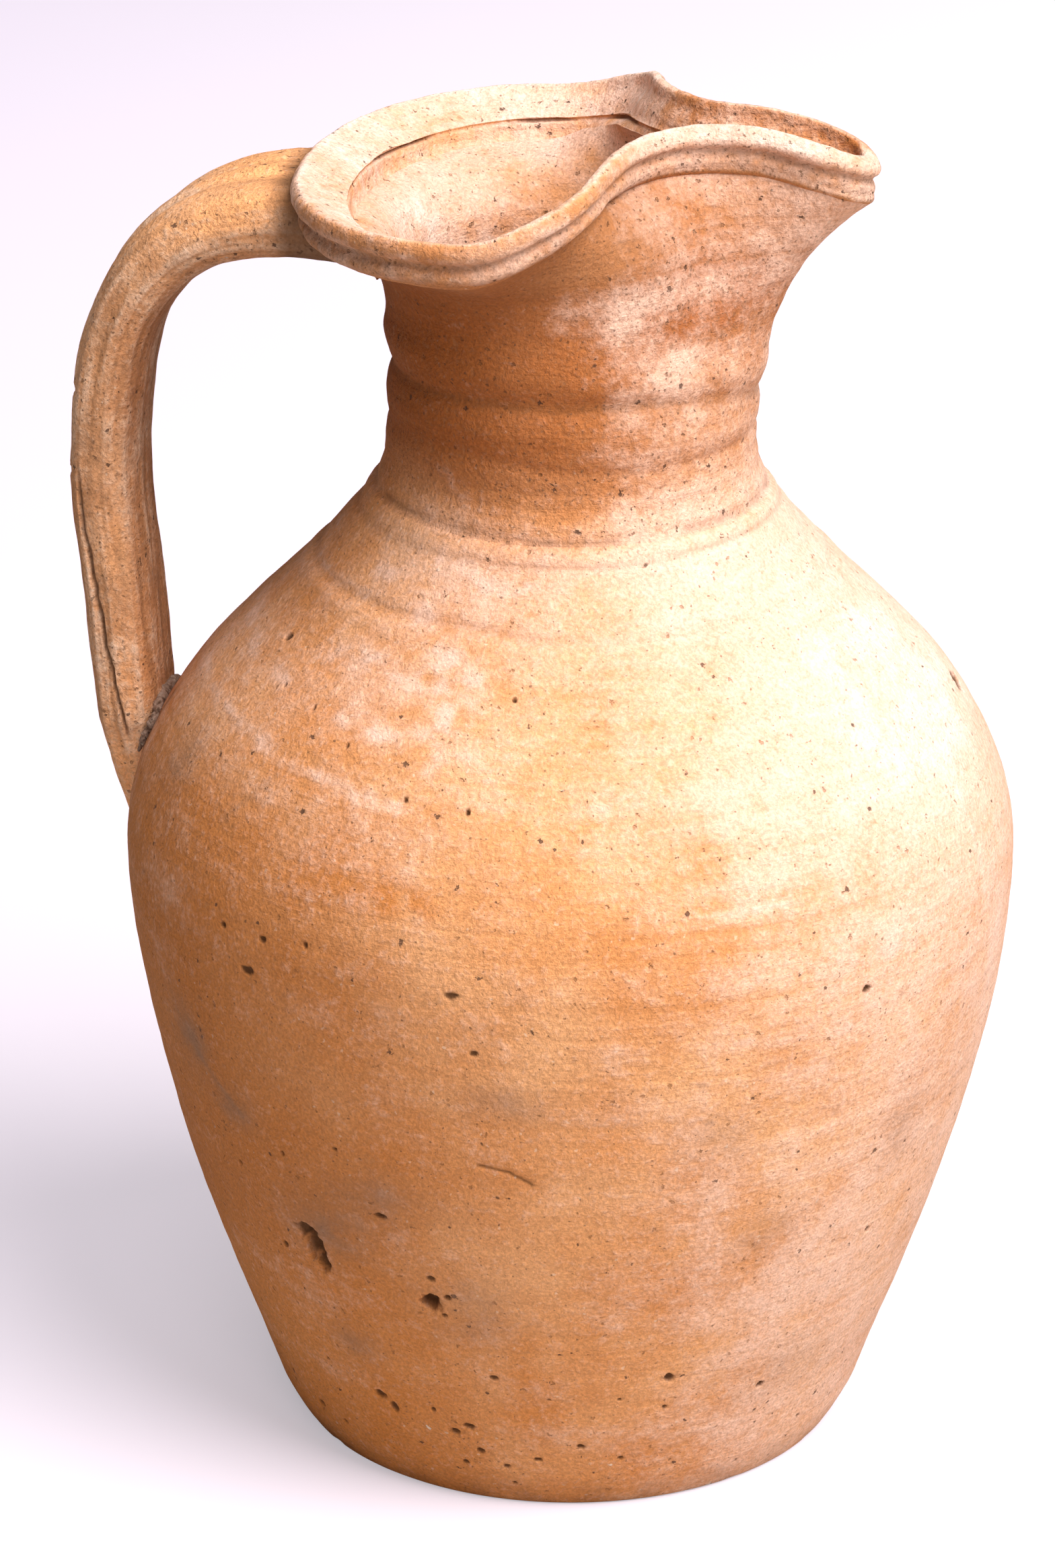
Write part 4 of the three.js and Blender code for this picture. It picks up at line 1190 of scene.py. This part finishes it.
# Materials
class Graph:
    """Short ways to build a material's nodes."""

    def __init__(self, name):
        self.material = bpy.data.materials.new(name)
        self.material.use_nodes = True
        self.tree = self.material.node_tree
        self.tree.nodes.clear()

    def add(self, kind, inputs, **settings):
        made = self.tree.nodes.new("ShaderNode" + kind)
        for key, value in settings.items():
            setattr(made, key, value)
        for key, value in inputs.items():
            if isinstance(value, bpy.types.NodeSocket):
                self.tree.links.new(value, made.inputs[key])
            else:
                made.inputs[key].default_value = value
        return made

    def math(self, operation, a, b):
        return self.add("Math", {0: a, 1: b}, operation=operation).outputs[0]

    def scaled(self, value, by, plus):
        return self.add("Math", {0: value, 1: by, 2: plus}, operation="MULTIPLY_ADD").outputs[0]

    def vector(self, operation, a, b):
        return self.add("VectorMath", {0: a, 1: b}, operation=operation).outputs[0]

    def object_place(self):
        return self.add("TexCoord", {}).outputs["Object"]

    def mix(self, share, a, b, blend="MIX"):
        a, b = ((*v, 1) if isinstance(v, tuple) else v for v in (a, b))
        made = self.add("Mix", {0: share, 6: a, 7: b}, data_type="RGBA", blend_type=blend, clamp_factor=True)
        return made.outputs[2]

    def cover(self, color, mask, strength, over):
        """A colour with another one over it, as far as the mask times the strength says."""
        return self.mix(self.math("MULTIPLY", mask, strength), color, over)

    def layer(self, name):
        return self.add("Attribute", {}, attribute_name=name).outputs["Fac"]

    def noise(self, vector, scale, detail, roughness):
        inputs = {"Vector": vector, "Scale": scale, "Detail": detail, "Roughness": roughness}
        return self.add("TexNoise", inputs).outputs["Fac"]

    def ramp(self, value, low, high, to_low=0.0, to_high=1.0):
        inputs = {"Value": value, "From Min": low, "From Max": high, "To Min": to_low, "To Max": to_high}
        return self.add("MapRange", inputs, interpolation_type="SMOOTHSTEP").outputs[0]

    def grains(self, vector, scale, size, share, uneven):
        """Uneven grains: one to a cell of 1/scale, of up to a size in cells, in a share of the cells."""
        cell = self.add("TexVoronoi", {"Vector": vector, "Scale": scale, "Randomness": 1.0})
        split = self.add("SeparateColor", {"Color": cell.outputs["Color"]})
        there = self.math("LESS_THAN", split.outputs[0], share)
        radius = self.scaled(split.outputs[1], size * 0.7, size * 0.3)
        edge = self.math("MULTIPLY", self.math("DIVIDE", cell.outputs["Distance"], radius), uneven)
        return self.math("MULTIPLY", self.ramp(edge, 1.0, 0.55), there)

    def finish(self, shader):
        self.add("OutputMaterial", {"Surface": shader.outputs[0]})
        return self.material


def times(color, factor):
    return tuple(min(1.0, v * factor) for v in color)


def clay(name, deep, base, pale, stain, grit=1.0, bumps=1.0, lines=1.0, grain=0.5):
    """Fired clay: a mottled base colour with bloom and painted highlight, stains and painted shade, dark and
    white grit, wiping lines, and pits darkened as painted shade.
    """
    g = Graph(name)
    spot = g.object_place()
    warp = g.add("TexNoise", {"Vector": spot, "Scale": 220.0, "Detail": 2.0}).outputs["Color"]
    bent = g.vector("MULTIPLY", g.vector("ADD", warp, (-0.5, -0.5, -0.5)), (0.0016, 0.0016, 0.0016))
    bent = g.vector("ADD", spot, bent)
    flat = g.vector("MULTIPLY", spot, (9.0, 9.0, 260.0))
    broad = g.noise(spot, 22.0, 4.0, 0.6)
    middle = g.noise(spot, 95.0, 4.0, 0.65)
    fine = g.noise(bent, 520.0, 4.0, 0.7)
    wiped = g.noise(flat, 1.0, 4.0, 0.6)
    dusk = g.layer("dusk")
    dirt = g.layer("dirt")
    light = g.scaled(dusk, -0.75, 1.0)

    # The clay's own colour with painted shade, its bloom with painted highlight, and its mottling
    color = g.mix(g.ramp(broad, 0.3, 0.7), deep, base)
    # Stains, with painted shade on the belly's back and painted light on the strap's tail
    color = g.cover(color, g.ramp(g.layer("stain"), 0.1, 0.9), 0.75, stain)
    # Painted shade, with some darker clay, in a deep brown
    color = g.cover(color, dusk, 0.93, (0.31, 0.078, 0.009))
    bloom_and_highlight = g.math("ADD", g.layer("pale"), g.scaled(middle, 0.55, -0.275))
    bloom_and_highlight = g.scaled(g.math("SUBTRACT", fine, 0.5), g.scaled(dusk, 0.25, grain), bloom_and_highlight)
    bloom_and_highlight = g.scaled(g.math("SUBTRACT", wiped, 0.5), 0.35 * lines, bloom_and_highlight)
    color = g.mix(g.ramp(bloom_and_highlight, 0.08, 0.8, 0.0, 0.94), color, pale)
    color = g.mix(g.ramp(bloom_and_highlight, 0.7, 1.25, 0.0, 0.8), color, (0.86, 0.72, 0.64))
    tone = g.ramp(g.noise(bent, 1250.0, 3.0, 0.65), 0.3, 0.7, 0.8, 1.12)
    color = g.mix(1.0, color, tone, blend="MULTIPLY")
    color = g.cover(color, g.ramp(fine, 0.5, 0.75, 0.0, 0.22), light, times(pale, 1.15))
    color = g.mix(g.ramp(fine, 0.46, 0.28, 0.0, 0.3), color, times(base, 0.6))
    color = g.cover(color, g.ramp(wiped, 0.42, 0.28), 0.16 * lines, times(deep, 0.8))

    # Grit: dark and white grains, and clumps of the dark ones
    uneven = g.ramp(g.noise(spot, 1500.0, 2.0, 0.6), 0.25, 0.75, 0.45, 1.7)
    dark_large = g.grains(bent, 330.0, 0.25, g.scaled(dirt, 0.16, 0.085 * grit), uneven)
    dark_small = g.grains(bent, 850.0, 0.27, g.scaled(dirt, 0.4, 0.2 * grit), uneven)
    white_large = g.math("MULTIPLY", g.grains(bent, 230.0, 0.17, 0.016 * grit, uneven), light)
    white_small = g.math("MULTIPLY", g.grains(bent, 640.0, 0.33, 0.07 * grit, uneven), light)
    pores = g.grains(bent, 480.0, 0.3, 0.10 * grit, uneven)
    clumps = g.ramp(g.noise(bent, 900.0, 3.0, 0.65), 0.53, 0.7)
    color = g.cover(color, dark_small, 0.62, (0.13, 0.065, 0.035))
    color = g.cover(color, clumps, g.scaled(dirt, 0.62, 0.15), (0.2, 0.1, 0.055))
    color = g.cover(color, white_small, 0.3, (0.85, 0.72, 0.6))
    color = g.cover(color, white_large, 0.6, (0.88, 0.78, 0.68))
    color = g.cover(color, dark_large, 0.85, (0.085, 0.04, 0.025))
    color = g.cover(color, g.layer("grey"), 0.75, (0.27, 0.15, 0.095))
    # Dark lines: cracks and joints, with painted shade in grooves, crevices, hollows and under the rim; then
    # the pits' insides, darkened as painted shade
    color = g.cover(color, g.layer("line"), 0.88, times(deep, 0.25))
    color = g.cover(color, g.layer("pit"), 0.92, times(deep, 0.14))
    color = g.cover(color, pores, 0.55, times(deep, 0.4))

    height = g.math("MULTIPLY", fine, 0.9)
    for value, weight in (
        (g.noise(bent, 1400.0, 3.0, 0.7), 0.35),
        (middle, 1.2),
        (wiped, 0.8 * lines),
        (pores, -1.0),
        (dark_large, -0.7),
        (white_large, 0.5),
        (dark_small, 0.25),
    ):
        height = g.scaled(value, weight, height)
    bump = g.add("Bump", {"Height": height, "Strength": min(1.0, 0.7 * bumps), "Distance": 0.0009})
    surface = {
        "Base Color": color,
        "Roughness": g.ramp(fine, 0.3, 0.7, 0.78, 0.95),
        "Specular IOR Level": 0.25,
        "Normal": bump.outputs[0],
    }
    return g.finish(g.add("BsdfPrincipled", surface))


TERRACOTTA = clay(
    "terracotta",
    deep=(0.62, 0.245, 0.08),
    base=(0.75, 0.37, 0.17),
    pale=(0.82, 0.52, 0.40),
    stain=(0.58, 0.19, 0.03),
)
PALE = clay(
    "pale terracotta",
    deep=(0.59, 0.23, 0.075),
    base=(0.72, 0.35, 0.165),
    pale=(0.80, 0.51, 0.395),
    stain=(0.54, 0.175, 0.03),
    grit=1.4,
    bumps=1.4,
    grain=0.4,
)
# The strap's clay; its stain colour, a bright orange, also gives the tail painted light
STRAP_CLAY = clay(
    "handle terracotta",
    deep=(0.52, 0.23, 0.10),
    base=(0.68, 0.35, 0.18),
    pale=(0.80, 0.54, 0.39),
    stain=(0.92, 0.41, 0.16),
    grit=1.4,
    bumps=1.3,
    lines=0.2,
    grain=0.9,
)
GREY = clay(
    "grey luting clay",
    deep=(0.14, 0.07, 0.045),
    base=(0.26, 0.155, 0.105),
    pale=(0.45, 0.33, 0.27),
    stain=(0.24, 0.12, 0.07),
    grit=2.0,
    bumps=2.5,
    lines=0.0,
)

FINISHES = [
    (bottom, "floor_disc", "terracotta", TERRACOTTA),
    (lower, "lower_body", "terracotta", TERRACOTTA),
    (upper, "shoulder", "terracotta", TERRACOTTA),
    (neck, "neck", "pale_terracotta", PALE),
    (collar, "rim_collar", "pale_terracotta", PALE),
    (handle, "handle_strap", "handle_terracotta", STRAP_CLAY),
    (seat, "handle_seat_lute", "handle_terracotta", STRAP_CLAY),
    (foot, "handle_foot_lute", "grey_luting_clay", GREY),
]
for piece, node, slot, material in FINISHES:
    piece.data.materials.append(material)
    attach(piece, "root")
    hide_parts(node)


# Ground, light and camera
GROUND_SIZE = 60.0


def make_floor():
    """A matt white ground; what the camera sees of it glows, and it glows alone far away."""
    mesh = bpy.data.meshes.new("ground")
    corners = [(x * GROUND_SIZE, y * GROUND_SIZE, 0) for x, y in ((-1, -1), (1, -1), (1, 1), (-1, 1))]
    mesh.from_pydata(corners, [], [(0, 1, 2, 3)])
    ground = bpy.data.objects.new("ground", mesh)
    bpy.context.scene.collection.objects.link(ground)
    g = Graph("white ground")
    seen = g.add("LightPath", {}).outputs["Is Camera Ray"]
    # What the camera sees of the matt part is tinted violet, which shows in its shadows
    matt = g.add("BsdfDiffuse", {"Color": g.mix(seen, (0.55, 0.52, 0.5), (0.94, 0.84, 0.97))})
    spot = g.object_place()
    x, y, _ = g.add("SeparateXYZ", {"Vector": spot}).outputs
    # Painted shade: the glow turns violet and dimmer towards the left; painted light: it grows brighter
    # towards the right and far back
    color = g.mix(g.ramp(x, -0.9, 0.3), (0.92, 0.82, 1.0), (1.0, 0.98, 1.0))
    strength = g.math("MULTIPLY", g.ramp(x, -0.6, 0.6, 0.86, 1.25), g.ramp(y, 0.1, 1.3, 1.0, 1.45))
    glow = g.add("Emission", {"Color": color, "Strength": strength})
    away = g.add("VectorMath", {0: spot}, operation="LENGTH").outputs["Value"]
    share = g.math("MULTIPLY", seen, g.ramp(away, 1.4, 4.0, 0.4, 1.0))
    both = g.add("MixShader", {0: share, 1: matt.outputs[0], 2: glow.outputs[0]})
    mesh.materials.append(g.finish(both))


# Name, size, energy, colour and place of every lamp
LIGHTS = [
    ("key", 1.9, 103, (1.0, 0.97, 0.94), (1.18, -0.7, 1.95)),
    ("overhead", 1.4, 18, (1.0, 0.99, 0.98), (-0.3, -0.05, 2.4)),
    ("front", 1.2, 14, (1.0, 0.98, 0.96), (0.35, -2.1, 1.6)),
]
LIGHT_AIM = Vector((0, 0, 0.17))
CAMERA_PLACE = (0.2152, -1.2801, 0.6847)
CAMERA_LOOK = Vector((-0.161, 0.913, -0.3746))
LENS = 133.0


def put(name, data, place, look):
    """A lamp or camera that looks along a direction from its place."""
    made = bpy.data.objects.new(name, data)
    made.location = place
    made.rotation_mode = "QUATERNION"
    made.rotation_quaternion = look.to_track_quat("-Z", "Y")
    bpy.context.scene.collection.objects.link(made)
    return made


def light_scene():
    world = bpy.data.worlds.new("room")
    world.use_nodes = True
    room = world.node_tree.nodes["Background"]
    room.inputs[0].default_value = (0.95, 0.96, 1.0, 1)
    room.inputs[1].default_value = 0.06
    bpy.context.scene.world = world
    for name, size, energy, color, place in LIGHTS:
        lamp = bpy.data.lights.new(name, "AREA")
        lamp.shape = "DISK"
        lamp.size = size
        lamp.energy = energy
        lamp.color = color
        put(name, lamp, place, LIGHT_AIM - Vector(place))


def make_camera():
    data = bpy.data.cameras.new("camera")
    data.sensor_fit = "VERTICAL"
    data.sensor_height = 36
    data.lens = LENS
    data.clip_start = 0.05
    data.clip_end = 200
    bpy.context.scene.camera = put("camera", data, CAMERA_PLACE, CAMERA_LOOK)


make_floor()
light_scene()
make_camera()
bpy.context.scene.view_settings.view_transform = "Standard"
